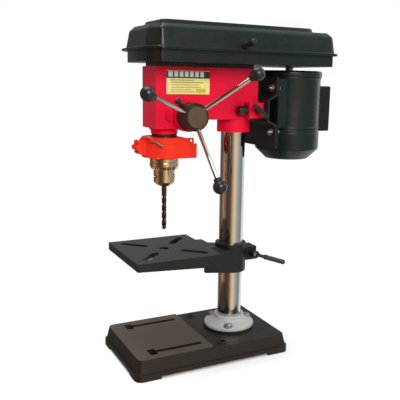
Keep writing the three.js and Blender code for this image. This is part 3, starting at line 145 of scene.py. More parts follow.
# Mesh from a grid of points [row, around], closed round its columns and, if ring, its rows.
def surface(name, points, material, body, replaced=(), ring=False, sharp=38):
    rows, cols = points.shape[:2]
    i, j = np.meshgrid(np.arange(rows if ring else rows - 1), np.arange(cols), indexing="ij")
    ni, nj = (i + 1) % rows, (j + 1) % cols
    quads = np.stack([i * cols + j, i * cols + nj, ni * cols + nj, ni * cols + j], -1).reshape(-1, 4)
    uv = np.stack([np.stack([j, i], -1), np.stack([j + 1, i], -1), np.stack([j + 1, i + 1], -1),
                   np.stack([j, i + 1], -1)], -2).reshape(-1, 2) / np.array([cols, rows])
    mesh = bpy.data.meshes.new(name)
    mesh.from_pydata(toFrame(points.reshape(-1, 3)).tolist(), [], quads.tolist())
    layer = mesh.uv_layers.new(name="around")
    layer.data.foreach_set("uv", uv.astype(np.float32).ravel())
    shape = bmesh.new()
    shape.from_mesh(mesh)
    bmesh.ops.remove_doubles(shape, verts=shape.verts, dist=mergeWithin)
    bmesh.ops.recalc_face_normals(shape, faces=shape.faces)
    shape.to_mesh(mesh)
    shape.free()
    return shown(name, mesh, material, body, replaced, sharp)


def shown(name, mesh, material, body, replaced, sharp):
    global pieceCount
    mesh.shade_smooth()
    mesh.set_sharp_from_angle(angle=math.radians(sharp))
    mesh.materials.clear()
    mesh.materials.append(made[material])
    piece = bpy.data.objects.new(name, mesh)
    bpy.context.scene.collection.objects.link(piece)
    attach(piece, body)
    if replaced:
        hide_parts(*([replaced] if isinstance(replaced, str) else replaced))
    pieceCount += 1
    return piece


# A short profile of [radius, height]: a rod where inner is 0, and otherwise a tube.
def sleeve(inner, outer, low, high):
    return [(inner, low), (outer, low), (outer, high), (inner, high)]


# Profile with soft edges, turned about the axis through its place; a closed one is a ring, and an open one
# starts and ends on the axis.
def lathed(name, profile, edge, around, place, material, body, replaced, axis=(0, 0, 1), closed=False, steps=4):
    points = lathe(rounded(profile, edge, closed, steps), around)
    return surface(name, aim(points, place, axis), material, body, replaced, ring=closed)


# Adds a row at each end, all at that end's centre, which closes the surface.
def capped(points):
    first, last = (np.broadcast_to(points[k].mean(0), (1,) + points[0].shape) for k in (0, -1))
    return np.concatenate([first, points, last])


# The node's own solid with its loose triangles merged and every sharp edge rounded.
def softened(node, width, material, body, segments=2, sharp=36):
    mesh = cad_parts[node].data.copy()
    shape = bmesh.new()
    shape.from_mesh(mesh)
    bmesh.ops.remove_doubles(shape, verts=shape.verts, dist=3e-6)
    bmesh.ops.dissolve_limit(shape, angle_limit=math.radians(0.6), verts=shape.verts, edges=shape.edges)
    shape.to_mesh(mesh)
    shape.free()
    piece = shown(node + "_cast", mesh, material, body, node, sharp)
    bevel = piece.modifiers.new("edges", "BEVEL")
    bevel.width = width * mm
    bevel.segments = segments
    bevel.limit_method = "ANGLE"
    bevel.angle_limit = math.radians(sharp)
    bevel.use_clamp_overlap = True
    bevel.miter_outer = "MITER_ARC"
    normals = piece.modifiers.new("shading", "WEIGHTED_NORMAL")
    normals.keep_sharp = True
    return piece


# Materials.


# sRGB hex to the linear colour that the shader takes.
def linear(hexColour):
    srgb = np.array([int(hexColour[i:i + 2], 16) for i in (1, 3, 5)]) / 255
    value = np.where(srgb <= 0.04045, srgb / 12.92, ((srgb + 0.055) / 1.055) ** 2.4)
    return (*value.tolist(), 1.0)


# Adds one node: plain settings are attributes, those that start with a colon are input values.
def add(tree, kind, settings=None, links=None):
    node = tree.nodes.new(kind)
    for key, value in (settings or {}).items():
        if key.startswith(":"):
            node.inputs[key[1:]].default_value = value
        else:
            setattr(node, key, value)
    for key, source in (links or {}).items():
        tree.links.new(source, node.inputs[key])
    return node


# Each finish: two tones, roughness low and high, grain size and height in mm, spread of the patches in mm,
# and where it matters metallic, clear coat, specular level and the grain's stretch along x, y and z.
finishes = {
    # enamel over a sand casting: saturated, with slow waves and a sprayed orange peel
    "redEnamelOnCasting": dict(tones=("#e60f36", "#d80b30"), rough=(0.3, 0.4), grain=2.2, height=0.02,
                               coat=0.08, spread=40, specular=0.15),
    # black gloss enamel on pressed sheet and on the motor: deep black, with painted sheen, a teal tint in the colour
    # itself
    "blackEnamelPaintedTealSheen": dict(tones=("#0d1415", "#172223"), rough=(0.22, 0.34), grain=1.4, height=0.015,
                               coat=0.08, spread=60, specular=0.25),
    # black satin paint on rough iron castings: the skin of the sand shows through
    "blackPaintOnIron": dict(tones=("#101111", "#191b1b"), rough=(0.36, 0.5), grain=1.2, height=0.1,
                             coat=0.05, spread=30, specular=0.3),
    # the same paint on the base, browner where it has been handled
    "brownedPaintOnIron": dict(tones=("#251b15", "#181412"), rough=(0.36, 0.5), grain=1.2, height=0.1,
                               coat=0.05, spread=60, specular=0.3),
    # light grey paint on the cast flange
    "greyPaintOnIron": dict(tones=("#b8b7b3", "#a3a29d"), rough=(0.4, 0.55), grain=1.2, height=0.08,
                            coat=0.1, spread=20),
    # polished chrome plate on tube: fine draw lines along it
    "polishedChrome": dict(tones=("#d2d2d0", "#bcbcb9"), metallic=1.0, rough=(0.06, 0.13), grain=0.8,
                           height=0.004, spread=50, stretch=(1, 1, 0.03)),
    # ground and polished steel, turned: the lines run round
    "turnedSteel": dict(tones=("#e0cfae", "#c4b08c"), metallic=1.0, rough=(0.1, 0.2), grain=0.5,
                        height=0.012, spread=18, stretch=(0.05, 0.05, 1)),
    # zinc-plated fasteners: bluish, a little dull
    "zincPlatedSteel": dict(tones=("#c4c8ca", "#8d9293"), metallic=1.0, rough=(0.28, 0.45), grain=0.6,
                            height=0.02, spread=5),
    # black oxide on hardened steel: dark with a faint brown
    "blackOxideSteel": dict(tones=("#5a5047", "#383028"), metallic=0.9, rough=(0.22, 0.36), grain=0.5,
                            height=0.02, spread=8),
    # orange-red moulded ABS, fine spark-eroded skin
    "orangeAbs": dict(tones=("#ee3216", "#da2410"), rough=(0.3, 0.42), grain=0.7, height=0.03, spread=15,
                      specular=0.25),
    # moulded phenolic on the face of the feed hub, a lighter brown than the hub: painted sheen for the reflection on
    # that face
    "brownPhenolicPaintedSheen": dict(tones=("#5f4732", "#48341f"), rough=(0.34, 0.48), grain=0.8, height=0.03,
                          coat=0.05, spread=12, specular=0.3),
    # the same phenolic, darker, on the hub's body and the depth ring
    "darkPhenolic": dict(tones=("#35291f", "#251c15"), rough=(0.34, 0.48), grain=0.8, height=0.03,
                         spread=12, specular=0.3),
    # black phenolic ball knobs and grips: smooth from the mould, dulled by hands
    "blackPhenolic": dict(tones=("#171a1b", "#202425"), rough=(0.26, 0.36), grain=3.0, height=0.01,
                          coat=0.1, spread=10, specular=0.35),
    # black moulded ABS housings
    "blackAbs": dict(tones=("#0d0f10", "#141617"), rough=(0.34, 0.46), grain=0.7, height=0.03, spread=20,
                     specular=0.25),
    # nitrile rubber: matt and slightly dusty
    "nitrileRubber": dict(tones=("#101010", "#1b1a19"), rough=(0.6, 0.8), grain=0.6, height=0.04, spread=10),
    # die-cast aluminium, turned on its grooves
    "diecastAluminium": dict(tones=("#c6c8c9", "#a4a6a7"), metallic=1.0, rough=(0.3, 0.45), grain=0.5,
                             height=0.02, spread=10, stretch=(0.1, 0.1, 1)),
    # glossy moulded ABS of the two push buttons
    "greenAbs": dict(tones=("#1c9440", "#157a33"), rough=(0.25, 0.35), grain=1.5, height=0.01, spread=8),
    "redAbs": dict(tones=("#d21a1a", "#b01212"), rough=(0.25, 0.35), grain=1.5, height=0.01, spread=8),
}


# Mix of two colours by a factor; a colour is a hex value or another node's output.
def twoTone(tree, tones, factor):
    mixed = add(tree, "ShaderNodeMix", {"data_type": "RGBA"}, {"Factor": factor})
    for socket, tone in zip((mixed.inputs[6], mixed.inputs[7]), tones):      # the colour inputs A and B
        if isinstance(tone, str):
            socket.default_value = linear(tone)
        else:
            tree.links.new(tone, socket)
    return mixed.outputs[2]


# Product or comparison of two inputs, each a number or another node's output.
def maths(tree, operation, first, second):
    node = add(tree, "ShaderNodeMath", {"operation": operation})
    for socket, value in zip(node.inputs, (first, second)):
        if isinstance(value, (int, float)):
            socket.default_value = value
        else:
            tree.links.new(value, socket)
    return node.outputs[0]


# Two tones mixed by slow patches, roughness by mid-size ones, and a fine grain as bump.
def finish(name, tones, rough, grain, height, spread, metallic=0.0, coat=0.0, stretch=(1, 1, 1), specular=0.5):
    material = bpy.data.materials.new(name)
    material.use_nodes = True
    tree = material.node_tree
    shader = tree.nodes["Principled BSDF"]
    shader.inputs["Metallic"].default_value = metallic
    shader.inputs["Coat Weight"].default_value = coat
    shader.inputs["Coat Roughness"].default_value = 0.08
    shader.inputs["Specular IOR Level"].default_value = specular
    place = add(tree, "ShaderNodeTexCoord").outputs["Object"]
    patches = add(tree, "ShaderNodeTexNoise", {":Scale": 1 / (spread * mm), ":Detail": 3.0}, {"Vector": place})
    tree.links.new(twoTone(tree, tones, patches.outputs["Fac"]), shader.inputs["Base Color"])
    worn = add(tree, "ShaderNodeTexNoise", {":Scale": 1 / (spread * 0.3 * mm), ":Detail": 4.0}, {"Vector": place})
    dull = add(tree, "ShaderNodeMapRange", {":From Min": 0.3, ":From Max": 0.7, ":To Min": rough[0],
                                            ":To Max": rough[1]}, {"Value": worn.outputs["Fac"]})
    tree.links.new(dull.outputs["Result"], shader.inputs["Roughness"])
    drawn = add(tree, "ShaderNodeMapping", {":Scale": stretch}, {"Vector": place})
    fine = add(tree, "ShaderNodeTexNoise", {":Scale": 1 / (grain * mm), ":Detail": 2.0},
               {"Vector": drawn.outputs["Vector"]})
    bump = add(tree, "ShaderNodeBump", {":Distance": height * mm, ":Strength": 1.0}, {"Height": fine.outputs["Fac"]})
    tree.links.new(bump.outputs["Normal"], shader.inputs["Normal"])
    return material


made = {name: finish(name, **values) for name, values in finishes.items()}
milledRoughness = 0.38


# Paint everywhere but on level faces above `low` between y front and rear, which are milled and oiled.
def machinedTop(name, body, metal, low, front, rear):
    material = finish(name, **finishes[body])
    tree = material.node_tree
    shader = tree.nodes["Principled BSDF"]
    paint, dull = (shader.inputs[key].links[0].from_socket for key in ("Base Color", "Roughness"))
    place = add(tree, "ShaderNodeTexCoord").outputs["Object"]
    parts = add(tree, "ShaderNodeSeparateXYZ", None, {"Vector": place})
    normal = add(tree, "ShaderNodeNewGeometry").outputs["Normal"]
    level = add(tree, "ShaderNodeSeparateXYZ", None, {"Vector": normal})
    tests = [maths(tree, "GREATER_THAN", level.outputs["Z"], 0.97),
             maths(tree, "GREATER_THAN", parts.outputs["Z"], low * mm),
             maths(tree, "GREATER_THAN", parts.outputs["Y"], float(columnAxis[1]) + front * mm),
             maths(tree, "LESS_THAN", parts.outputs["Y"], float(columnAxis[1]) + rear * mm)]
    mask = tests[0]
    for test in tests[1:]:
        mask = maths(tree, "MULTIPLY", mask, test)
    # milling leaves fine lines along x, here 3 mm apart, which is coarse enough to show
    lines = add(tree, "ShaderNodeTexWave", {"wave_type": "BANDS", "bands_direction": "Y", ":Scale": 100.0,
                                            ":Distortion": 1.2, ":Detail": 2.0}, {"Vector": place})
    milled = twoTone(tree, metal, lines.outputs["Fac"])
    tree.links.new(twoTone(tree, (paint, milled), mask), shader.inputs["Base Color"])
    sheen = add(tree, "ShaderNodeMix", {"data_type": "FLOAT"}, {"Factor": mask, "A": dull})
    sheen.inputs["B"].default_value = milledRoughness
    tree.links.new(sheen.outputs[0], shader.inputs["Roughness"])
    return material


# How far up the name plate and across it its marks reach, as shares of its size.
labelDims = dict(header=(0.68, 0.98), window=(0.74, 0.96), windowAcross=(0.04, 0.86), patch=(0.06, 0.24),
                 patchAcross=(0.68, 0.9), bars=(0.14, 0.26, 0.38, 0.5, 0.62, 0.74), bar=0.035,
                 rules=((0.58, 0.62, 0.62), (0.48, 0.52, 0.86), (0.38, 0.41, 0.74), (0.28, 0.31, 0.8),
                        (0.18, 0.21, 0.56), (0.09, 0.12, 0.66)), ruleFrom=0.1)


# Yellow printed plate: a black and white header band and rows of thin dark rules, no lettering.
def labelPlate(name, node):
    d = labelDims
    material = bpy.data.materials.new(name)
    material.use_nodes = True
    tree = material.node_tree
    shader = tree.nodes["Principled BSDF"]
    shader.inputs["Roughness"].default_value = 0.32
    shader.inputs["Coat Weight"].default_value = 0.4
    low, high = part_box(node)
    size = [max(high[i] - low[i], 1e-4) for i in range(3)]
    place = add(tree, "ShaderNodeTexCoord").outputs["Object"]
    sized = add(tree, "ShaderNodeMapping", {"vector_type": "POINT", ":Scale": [1 / s for s in size],
                                            ":Location": [-low[i] / size[i] for i in range(3)]}, {"Vector": place})
    parts = add(tree, "ShaderNodeSeparateXYZ", None, {"Vector": sized.outputs["Vector"]})
    across, up = parts.outputs["Y"], parts.outputs["Z"]

    def band(source, start, end):
        return maths(tree, "MULTIPLY", maths(tree, "GREATER_THAN", source, start),
                     maths(tree, "LESS_THAN", source, end))

    def window(rows, columns):
        return maths(tree, "MULTIPLY", band(up, *rows), band(across, *columns))

    ink = add(tree, "ShaderNodeTexNoise", {":Scale": 90.0, ":Detail": 2.0}, {"Vector": place})
    colour = twoTone(tree, ("#f0e2ae", "#d8c83c"), ink.outputs["Fac"])
    colour = twoTone(tree, (colour, "#202224"), band(up, *d["header"]))
    colour = twoTone(tree, (colour, "#c9cac8"), window(d["window"], d["windowAcross"]))
    for start in d["bars"]:
        colour = twoTone(tree, (colour, "#202224"), window(d["window"], (start, start + d["bar"])))
    for bottom, top, end in d["rules"]:
        colour = twoTone(tree, (colour, "#9c8d3a"), window((bottom, top), (d["ruleFrom"], end)))
    colour = twoTone(tree, (colour, "#b5b522"), window(d["patch"], d["patchAcross"]))
    tree.links.new(colour, shader.inputs["Base Color"])
    fine = add(tree, "ShaderNodeTexNoise", {":Scale": 1500.0}, {"Vector": place})
    bump = add(tree, "ShaderNodeBump", {":Distance": 0.01 * mm}, {"Height": fine.outputs["Fac"]})
    tree.links.new(bump.outputs["Normal"], shader.inputs["Normal"])
    return material


made["ironBase"] = machinedTop("paintedIronBaseMilledFront", "brownedPaintOnIron", ("#554a41", "#40372f"),
                               36.0, -230, -60)
made["ironTable"] = machinedTop("paintedIronTableMilledTop", "blackPaintOnIron", ("#302f2e", "#242322"),
                                205.0, -230, 40)
made["label"] = labelPlate("yellowPrintedPlate", "name_plate")
print("materials made", len(made))

# Base, column and flange.

softened("base", 1.8, "ironBase", "frame", 3)

columnDims = dict(wall=3, edge=0.8)
low, high = span("column")
columnRadius = (high[0] - low[0]) / 2
columnBore = columnRadius - columnDims["wall"]
columnTube = [(columnRadius, low[2]), (columnRadius, high[2]), (columnBore, high[2]), (columnBore, low[2])]
lathed("column_tube", columnTube, columnDims["edge"], 128, (0, 0, 0), "polishedChrome", "frame", "column",
       closed=True)

flangeDims = dict(rim=5.3, neck=31, coneTop=13, collar=29, circle=40, spot=8.8, seat=6.1, angles=(-30, 90, 210),
                  gap=0.15, step=2, edge=1.2, seatEdge=0.7)


# Disc, cone and collar turned round the column; the cone is cut down to a level seat round each bolt.
def makeFlange():
    low, high = span("column_flange")
    d = flangeDims
    radius, bore, bottom = (high[0] - low[0]) / 2, columnRadius + d["gap"], low[2]
    rimTop, coneTop, seat = bottom + d["rim"], bottom + d["coneTop"], bottom + d["seat"]
    corners = [(bore, bottom), (radius, bottom), (radius, rimTop), (d["neck"], coneTop),
               (d["collar"], coneTop + d["step"]), (d["collar"], high[2]), (bore, high[2])]
    profile = rounded(corners, d["edge"], steps=5)
    # extra rows down the cone, so that the seats have a clean edge
    top = np.argmin(np.hypot(profile[:, 0] - d["neck"], profile[:, 1] - coneTop))
    rim = np.argmin(np.hypot(profile[:, 0] - radius, profile[:, 1] - rimTop)) + 2
    slope = np.linspace(profile[rim], profile[top - 2], 60)
    points = lathe(np.concatenate([profile[:rim], slope, profile[top - 1:]]), 288)
    for angle in np.radians(d["angles"]):
        x, y = d["circle"] * math.cos(angle), d["circle"] * math.sin(angle)
        depth = np.clip((d["spot"] - np.hypot(points[..., 0] - x, points[..., 1] - y)) / d["seatEdge"], 0, 1)
        sunk = points[..., 2] + (seat - points[..., 2]) * depth
        points[..., 2] = np.where(points[..., 2] > seat, sunk, points[..., 2])
    surface("flange_casting", points, "greyPaintOnIron", "frame", "column_flange", ring=True, sharp=50)


makeFlange()


# Hexagon prism on a round washer; a cone cuts its top corners, so radius = the lesser of the two.
def hexHead(flat, height, around=72, washer=0.0, washerHeight=1.4, chamfer=0.86):
    angle = np.arange(around) * 2 * np.pi / around
    hexagon = flat / np.cos((angle % (np.pi / 3)) - np.pi / 6)
    base = washerHeight if washer else 0.0
    rows, heights = [np.zeros(around)], [0]
    if washer:
        for r, h in [(washer - 0.3, 0), (washer, 0.3), (washer, base - 0.3), (washer - 0.3, base)]:
            rows.append(np.full(around, float(r)))
            heights.append(h)
    corner = flat / math.cos(math.pi / 6)
    for t in (0.0, 0.82, 0.9, 0.96, 1.0):
        cone = corner * (1.0 if t < 0.8 else 1 - (t - 0.8) * (1 - chamfer) * 5.5)
        rows.append(np.minimum(hexagon, cone))
        heights.append(base + t * height)
    rows += [np.full(around, flat * 0.35), np.zeros(around)]
    heights += [base + height, base + height * 0.97]
    radius = np.array(rows)
    return np.stack([radius * np.cos(angle), radius * np.sin(angle), np.array(heights)[:, None] + 0 * angle], -1)


flangeBolt = dict(flat=6.3, height=5.2, washer=7.9, washerHeight=1.4)

for number in (1, 2, 3):
    low, high = span(f"flange_bolt_{number}")
    centre = (low + high) / 2
    seat = high[2] - flangeBolt["height"] - flangeBolt["washerHeight"]
    surface(f"flange_hex_{number}", aim(hexHead(**flangeBolt), (centre[0], centre[1], seat)), "zincPlatedSteel",
            "frame", f"flange_bolt_{number}")
print("base and column")

# Head casting and what is on it.

softened("head_casting", 2.2, "redEnamelOnCasting", "frame", 3)
softened("name_plate", 0.25, "label", "frame")
softened("head_lock_screw", 0.4, "blackOxideSteel", "frame")
softened("switch_box", 2.2, "blackAbs", "frame", 3)

buttonDims = dict(flange=9.8, flangeWidth=2.4, radius=7.9, rim=6.6, dish=3, edge=0.6)

for button, colour in (("start", "green"), ("stop", "red")):
    d = buttonDims
    low, high = span(f"{button}_button")
    centre, length = (low + high) / 2, high[0] - low[0]
    cap = [(0, 0), (d["flange"], 0), (d["flange"], d["flangeWidth"]), (d["radius"], d["flangeWidth"] + 0.2),
           (d["radius"], length - 0.8), (d["rim"], length - 0.1), (d["dish"], length - 0.5), (0, length - 0.6)]
    lathed(f"{button}_button_cap", cap, d["edge"], 64, (high[0], centre[1], centre[2]), f"{colour}Abs", button,
           f"{button}_button", toLeft)

feedAxis = middle("feed_hub")


def onFeed(x):
    return x, feedAxis[1], feedAxis[2]


springDims = dict(wall=2.5, boss=6, groove=1.0, rim=6, edge=1.4)


# Round cup with a rounded rim and a shallow groove turned in its face.
def makeSpringCap():
    low, high = span("spring_cap")
    d = springDims
    radius, depth = (high[2] - low[2]) / 2, high[0] - low[0]
    bore, floor, sunk = radius - d["wall"], depth - d["wall"], depth - d["groove"]
    profile = [(0, depth), (d["boss"], depth), (d["boss"] + 0.6, sunk), (radius - d["rim"] - 1, sunk),
               (radius - d["rim"], depth), (radius, depth), (radius, 0), (bore, 0), (bore, floor), (0, floor)]
    lathed("spring_housing", profile, d["edge"], 96, onFeed(high[0]), "blackAbs", "frame", "spring_cap",
           toLeft)


makeSpringCap()
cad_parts["return_spring"].data.materials.clear()
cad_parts["return_spring"].data.materials.append(made["blackOxideSteel"])
print("head")

# Quill, spindle and chuck.

quillDims = dict(bumperBore=20.2, bumperEdge=2.0, race=17, raceEdge=0.6, spindleSeat=8.3, spindle=8, spindleEdge=0.8)
spindleAxis = middle("chuck_sleeve")
spindleFoot = (spindleAxis[0], spindleAxis[1], 0)
softened("quill", 0.5, "turnedSteel", "quill")
low, high = span("quill_bumper")
lathed("rubber_ring", sleeve(quillDims["bumperBore"], (high[0] - low[0]) / 2, low[2], high[2]),
       quillDims["bumperEdge"], 96, spindleFoot, "nitrileRubber", "quill", "quill_bumper", closed=True)
low, high = span("lower_bearing")
lathed("bearing_race", sleeve(quillDims["spindleSeat"], quillDims["race"], low[2], high[2]), quillDims["raceEdge"],
       96, spindleFoot, "turnedSteel", "quill", "lower_bearing", closed=True)
low, high = span("spindle_shaft")
lathed("spindle_bar", sleeve(0, quillDims["spindle"], low[2], high[2]), quillDims["spindleEdge"], 64, spindleFoot,
       "turnedSteel", "spindle", "spindle_shaft")

chuckDims = dict(body=19, collar=22, nose=13.4, noseHeight=5.5, noseBevel=1.8, mouth=12.0, mouthDepth=24,
                 keyHole=3.8, keyDepth=6.4, keyAngles=(-76, 44, 164), edge=0.5, around=240)
sleeveDims = dict(bore=19.3, bevel=3.4, bevelTop=5.5, groove=0.6, grooveAt=12, teeth=30, toothDepth=2.4, around=360)


# Turned body with three key holes sunk round its barrel, and painted shade: a black sleeve round its collar.
def makeChuckBody():
    d = chuckDims
    low, high = span("chuck_body")
    sleeveLow, sleeveHigh = span("chuck_sleeve")
    bottom, top = low[2], high[2]
    barrel, seat, body, collar = bottom + d["noseHeight"], quillDims["spindleSeat"], float(d["body"]), d["collar"]
    mouthTop, collarFoot = bottom + d["mouthDepth"], sleeveHigh[2] + 0.3
    nose = [(seat, top), (seat, mouthTop), (d["mouth"], mouthTop), (d["mouth"], bottom), (d["nose"], bottom),
            (body - d["noseBevel"], barrel - d["noseBevel"]), (body, barrel)]
    upper = [(body, sleeveLow[2] + 1), (body, collarFoot), (collar, collarFoot), (collar, top - 2),
             (collar - 2, top), (seat, top)]
    # many rows up the barrel, so that the key holes have a clean edge
    rise = np.column_stack([np.full(64, body), np.linspace(barrel, sleeveLow[2], 64)])
    points = lathe(np.concatenate([rounded(nose, d["edge"], False), rise, rounded(upper, 0.6, False)]), d["around"])
    angle = np.arctan2(points[..., 1], points[..., 0])
    radius = np.hypot(points[..., 0], points[..., 1])
    holeZ = (barrel + sleeveLow[2]) / 2 - 1
    for turn in d["keyAngles"]:
        around = (angle - math.radians(turn) + np.pi) % (2 * np.pi) - np.pi
        away = np.hypot(around * body, points[..., 2] - holeZ)
        inside = np.clip((d["keyHole"] - away) / 0.4, 0, 1) * (radius > body - 0.3)
        points[..., :2] *= (1 - inside * d["keyDepth"] / body)[..., None]
    surface("chuck_barrel", aim(points, spindleFoot), "turnedSteel", "spindle", "chuck_body", ring=True,
            sharp=35)
    # painted shade: a thin black sleeve over the collar, where the collar lies in shadow under the guard
    lathed("chuck_collar_painted_shade_band", sleeve(collar - 0.5, collar + 0.3, sleeveHigh[2] + 0.4, top - 2.4), 0.2, 128,
           spindleFoot, "blackOxideSteel", "spindle", (), closed=True)


# Turned ring with a groove; below, its radius steps in and out once for each gear tooth.
def makeChuckSleeve():
    d = sleeveDims
    low, high = span("chuck_sleeve")
    outer, bottom, top = (high[0] - low[0]) / 2, low[2], high[2]
    groove, grooveAt, shoulder = outer - d["groove"], bottom + d["grooveAt"], bottom + d["bevelTop"]
    corners = [(d["bore"], bottom), (outer - d["bevel"], bottom), (outer - 0.4, shoulder), (outer, shoulder + 0.7),
               (outer, grooveAt), (groove, grooveAt + d["groove"]), (groove, grooveAt + d["groove"] + 1),
               (outer, grooveAt + 2 * d["groove"] + 1), (outer, top - 2), (outer - 2, top), (d["bore"], top)]
    points = lathe(rounded(corners, 0.5), d["around"])
    angle = np.arctan2(points[..., 1], points[..., 0])
    wave = np.clip(np.cos(d["teeth"] * angle) * 2.2, -1, 1) * 0.5 - 0.5
    toothed = np.hypot(points[..., 0], points[..., 1]) > d["bore"] + 1.2
    reach = np.clip((shoulder + 0.1 - points[..., 2]) / 1.2, 0, 1) * toothed
    points[..., :2] *= (1 + wave * reach * d["toothDepth"] / outer)[..., None]
    surface("chuck_ring_toothed", aim(points, spindleFoot), "turnedSteel", "chuck_ring", "chuck_sleeve",
            ring=True, sharp=35)


makeChuckBody()
makeChuckSleeve()
for number in (1, 2, 3):
    softened(f"chuck_jaw_{number}", 0.6, "blackOxideSteel", f"jaw_{number}")

drillDims = dict(point=2.7, lead=28.0, web=0.3, fluted=66, runOut=8, relief=0.94, around=72, rows=260)


# Two flutes wound up the bit: radius = R (1 - depth * lobe), where the lobe turns once in each lead.
def makeDrill():
    d = drillDims
    low, high = span("drill_bit")
    radius, bottom = (high[0] - low[0]) / 2, low[2]
    tip, shank = np.linspace(0, d["point"], 8), np.linspace(bottom + d["point"], high[2], d["rows"])
    z = np.concatenate([bottom + tip, shank[1:]])[:, None]
    a = (np.arange(d["around"]) * 2 * np.pi / d["around"])[None, :]
    twist = a - 2 * np.pi * (z - bottom) / d["lead"]
    lobe = np.clip(np.cos(2 * twist) * 1.7 - 0.1, 0, 1) ** 0.8
    run = np.clip((bottom + d["fluted"] - z) / d["runOut"], 0, 1)
    land = np.where((np.cos(2 * twist - 1.1) > 0.86) | (lobe > 0.02), 1.0, d["relief"])
    r = radius * (1 - (1 - d["web"]) * lobe * run) * np.where(run > 0.5, land, 1.0)
    r = r * np.clip((z - bottom) / d["point"], 0, 1)
    points = np.stack([r * np.cos(a), r * np.sin(a), z + 0 * a], -1)
    points = np.concatenate([points, np.array([[0, 0, high[2]]])[None].repeat(d["around"], 1)])
    surface("twist_drill", aim(points, spindleFoot), "blackOxideSteel", "spindle", "drill_bit",
            sharp=45)


makeDrill()
print("spindle and chuck")

# Feed handle.

feedDims = dict(hub=24, face=18, cone=6, disc=0.7, ring=24.4, ringBore=7.3, scale=5, marks=36, markShare=0.09,
                journal=6, journalTo=20, pinion=11, pinionTo=78, shaft=7)
spokeDims = dict(radius=3.6, root=13, reach=113.5, lean=0.567, seat=1.8, intoBall=5)
ballDims = dict(radius=12.3, bore=3.7, boreEnd=-4.0, collar=6.6, collarTo=-15.6)


# Hub, its face, the ring and the shaft, turned about the feed axis; a graduation every ten degrees.
def makeFeed():
    d = feedDims
    low, high = span("feed_hub")
    width, face = high[0] - low[0], d["face"]
    hub = [(0, 0), (d["hub"], 0), (d["hub"], width - d["cone"]), (face + 0.8, width - 0.8), (face - 0.4, width),
           (face - 5, width - 0.2), (0, width - 0.5)]
    lathed("feed_hub_turned", hub, 0.9, 128, onFeed(low[0]), "darkPhenolic", "feed", "feed_hub",
           toRight)
    # painted sheen: a thin disc of lighter brown over the hub's face
    lathed("hub_face_painted_sheen_disc", sleeve(0, face - 0.2, 0, d["disc"]), 0.4, 128, onFeed(high[0] - 0.6), "brownPhenolicPaintedSheen",
           "feed", (), toRight)
    low, high = span("depth_ring")
    width, radius, bore = high[0] - low[0], d["ring"], d["ringBore"]
    ring = [(bore, 0), (radius, 0), (radius, width - d["scale"]), (radius - 0.5, width - d["scale"] + 0.4),
            (radius - 0.5, width - 0.6), (radius - 1, width), (bore, width)]
    points = lathe(rounded(ring, 0.4), 288)
    angle = np.arctan2(points[..., 1], points[..., 0])
    near = np.abs(((angle / (2 * np.pi) * d["marks"]) + 0.5) % 1 - 0.5) < d["markShare"]
    outer = np.hypot(points[..., 0], points[..., 1]) > radius - 0.8
    mark = near & outer & (points[..., 2] > width - d["scale"] + 0.6)
    points[..., :2] *= np.where(mark, 1 + 0.35 / radius, 1.0)[..., None]
    surface("depth_dial", aim(points, onFeed(low[0]), toRight), "darkPhenolic", "depth_stop", "depth_ring",
            ring=True)
    low, high = span("feed_shaft")
    length = high[0] - low[0]
    shaft = [(0, 0), (d["journal"], 0), (d["journal"], d["journalTo"]), (d["pinion"], d["journalTo"]),
             (d["pinion"], d["pinionTo"]), (d["shaft"], d["pinionTo"]), (d["shaft"], length), (0, length)]
    lathed("pinion_shaft", shaft, 0.5, 64, onFeed(low[0]), "turnedSteel", "feed", "feed_shaft", toRight)


# Rod and ball turned about the spoke's own line, which leans out from the hub.
def makeSpoke(number):
    d, b = spokeDims, ballDims
    ball = middle(f"ball_knob_{number}")
    radial = np.array([0, ball[1] - feedAxis[1], ball[2] - feedAxis[2]])
    radial /= np.linalg.norm(radial)
    line = radial + np.array([d["lean"], 0, 0])
    start = onFeed(span(f"spoke_{number}")[0][0] + d["seat"]) + radial * d["root"]
    length = (d["reach"] - d["root"]) * np.linalg.norm(line)
    line /= np.linalg.norm(line)
    end = start + line * length
    lathed(f"chromed_spoke_{number}", sleeve(0, d["radius"], 0, length - d["intoBall"]), 0.4, 40, start,
           "polishedChrome", "feed", f"spoke_{number}", line)
    # ball with a short collar on the spoke's side, closed round the spoke
    t = np.linspace(0, np.pi * 0.80, 28)
    sphere = np.column_stack([b["radius"] * np.sin(t), b["radius"] * np.cos(t)])
    neck = rounded([sphere[-1], (b["collar"], -12.0), (b["collar"] - 0.4, b["collarTo"]),
                    (b["bore"], b["collarTo"] - 0.2)], 0.8, closed=False)
    bore = np.array([(b["bore"], b["boreEnd"]), (0, b["boreEnd"])])
    profile = np.concatenate([sphere, neck[1:], bore])
    surface(f"phenolic_ball_{number}", aim(lathe(profile, 64), end, line), "blackPhenolic", "feed",
            f"ball_knob_{number}")


makeFeed()
for number in (1, 2, 3):
    makeSpoke(number)

ringScrewDims = dict(angle=133, root=9, shank=3, neck=32.8, head=5.5, top=40.2, knurls=24, knurl=0.03)


# Thumb screw that stands out of the depth ring: a thin shank and a knurled round head.
def makeRingScrew():
    d = ringScrewDims
    low, high = span("depth_lock_screw")
    turn = math.radians(d["angle"])
    profile = [(0, d["root"]), (d["shank"], d["root"]), (d["shank"], d["neck"]), (d["head"], d["neck"] + 0.6),
               (d["head"], d["top"] - 0.8), (d["head"] - 0.9, d["top"]), (0, d["top"])]
    points = lathe(rounded(profile, 0.5, closed=False), 96)
    angle = np.arctan2(points[..., 1], points[..., 0])
    wide = np.hypot(points[..., 0], points[..., 1]) > d["head"] - 0.3
    points[..., :2] *= np.where(wide, 1 - d["knurl"] * (np.cos(d["knurls"] * angle) > 0), 1.0)[..., None]
    surface("depth_thumb_screw", aim(points, onFeed((low[0] + high[0]) / 2), (0, math.cos(turn), math.sin(turn))),
            "blackPhenolic", "depth_stop", "depth_lock_screw")


makeRingScrew()
print("feed handle")

# Guard.

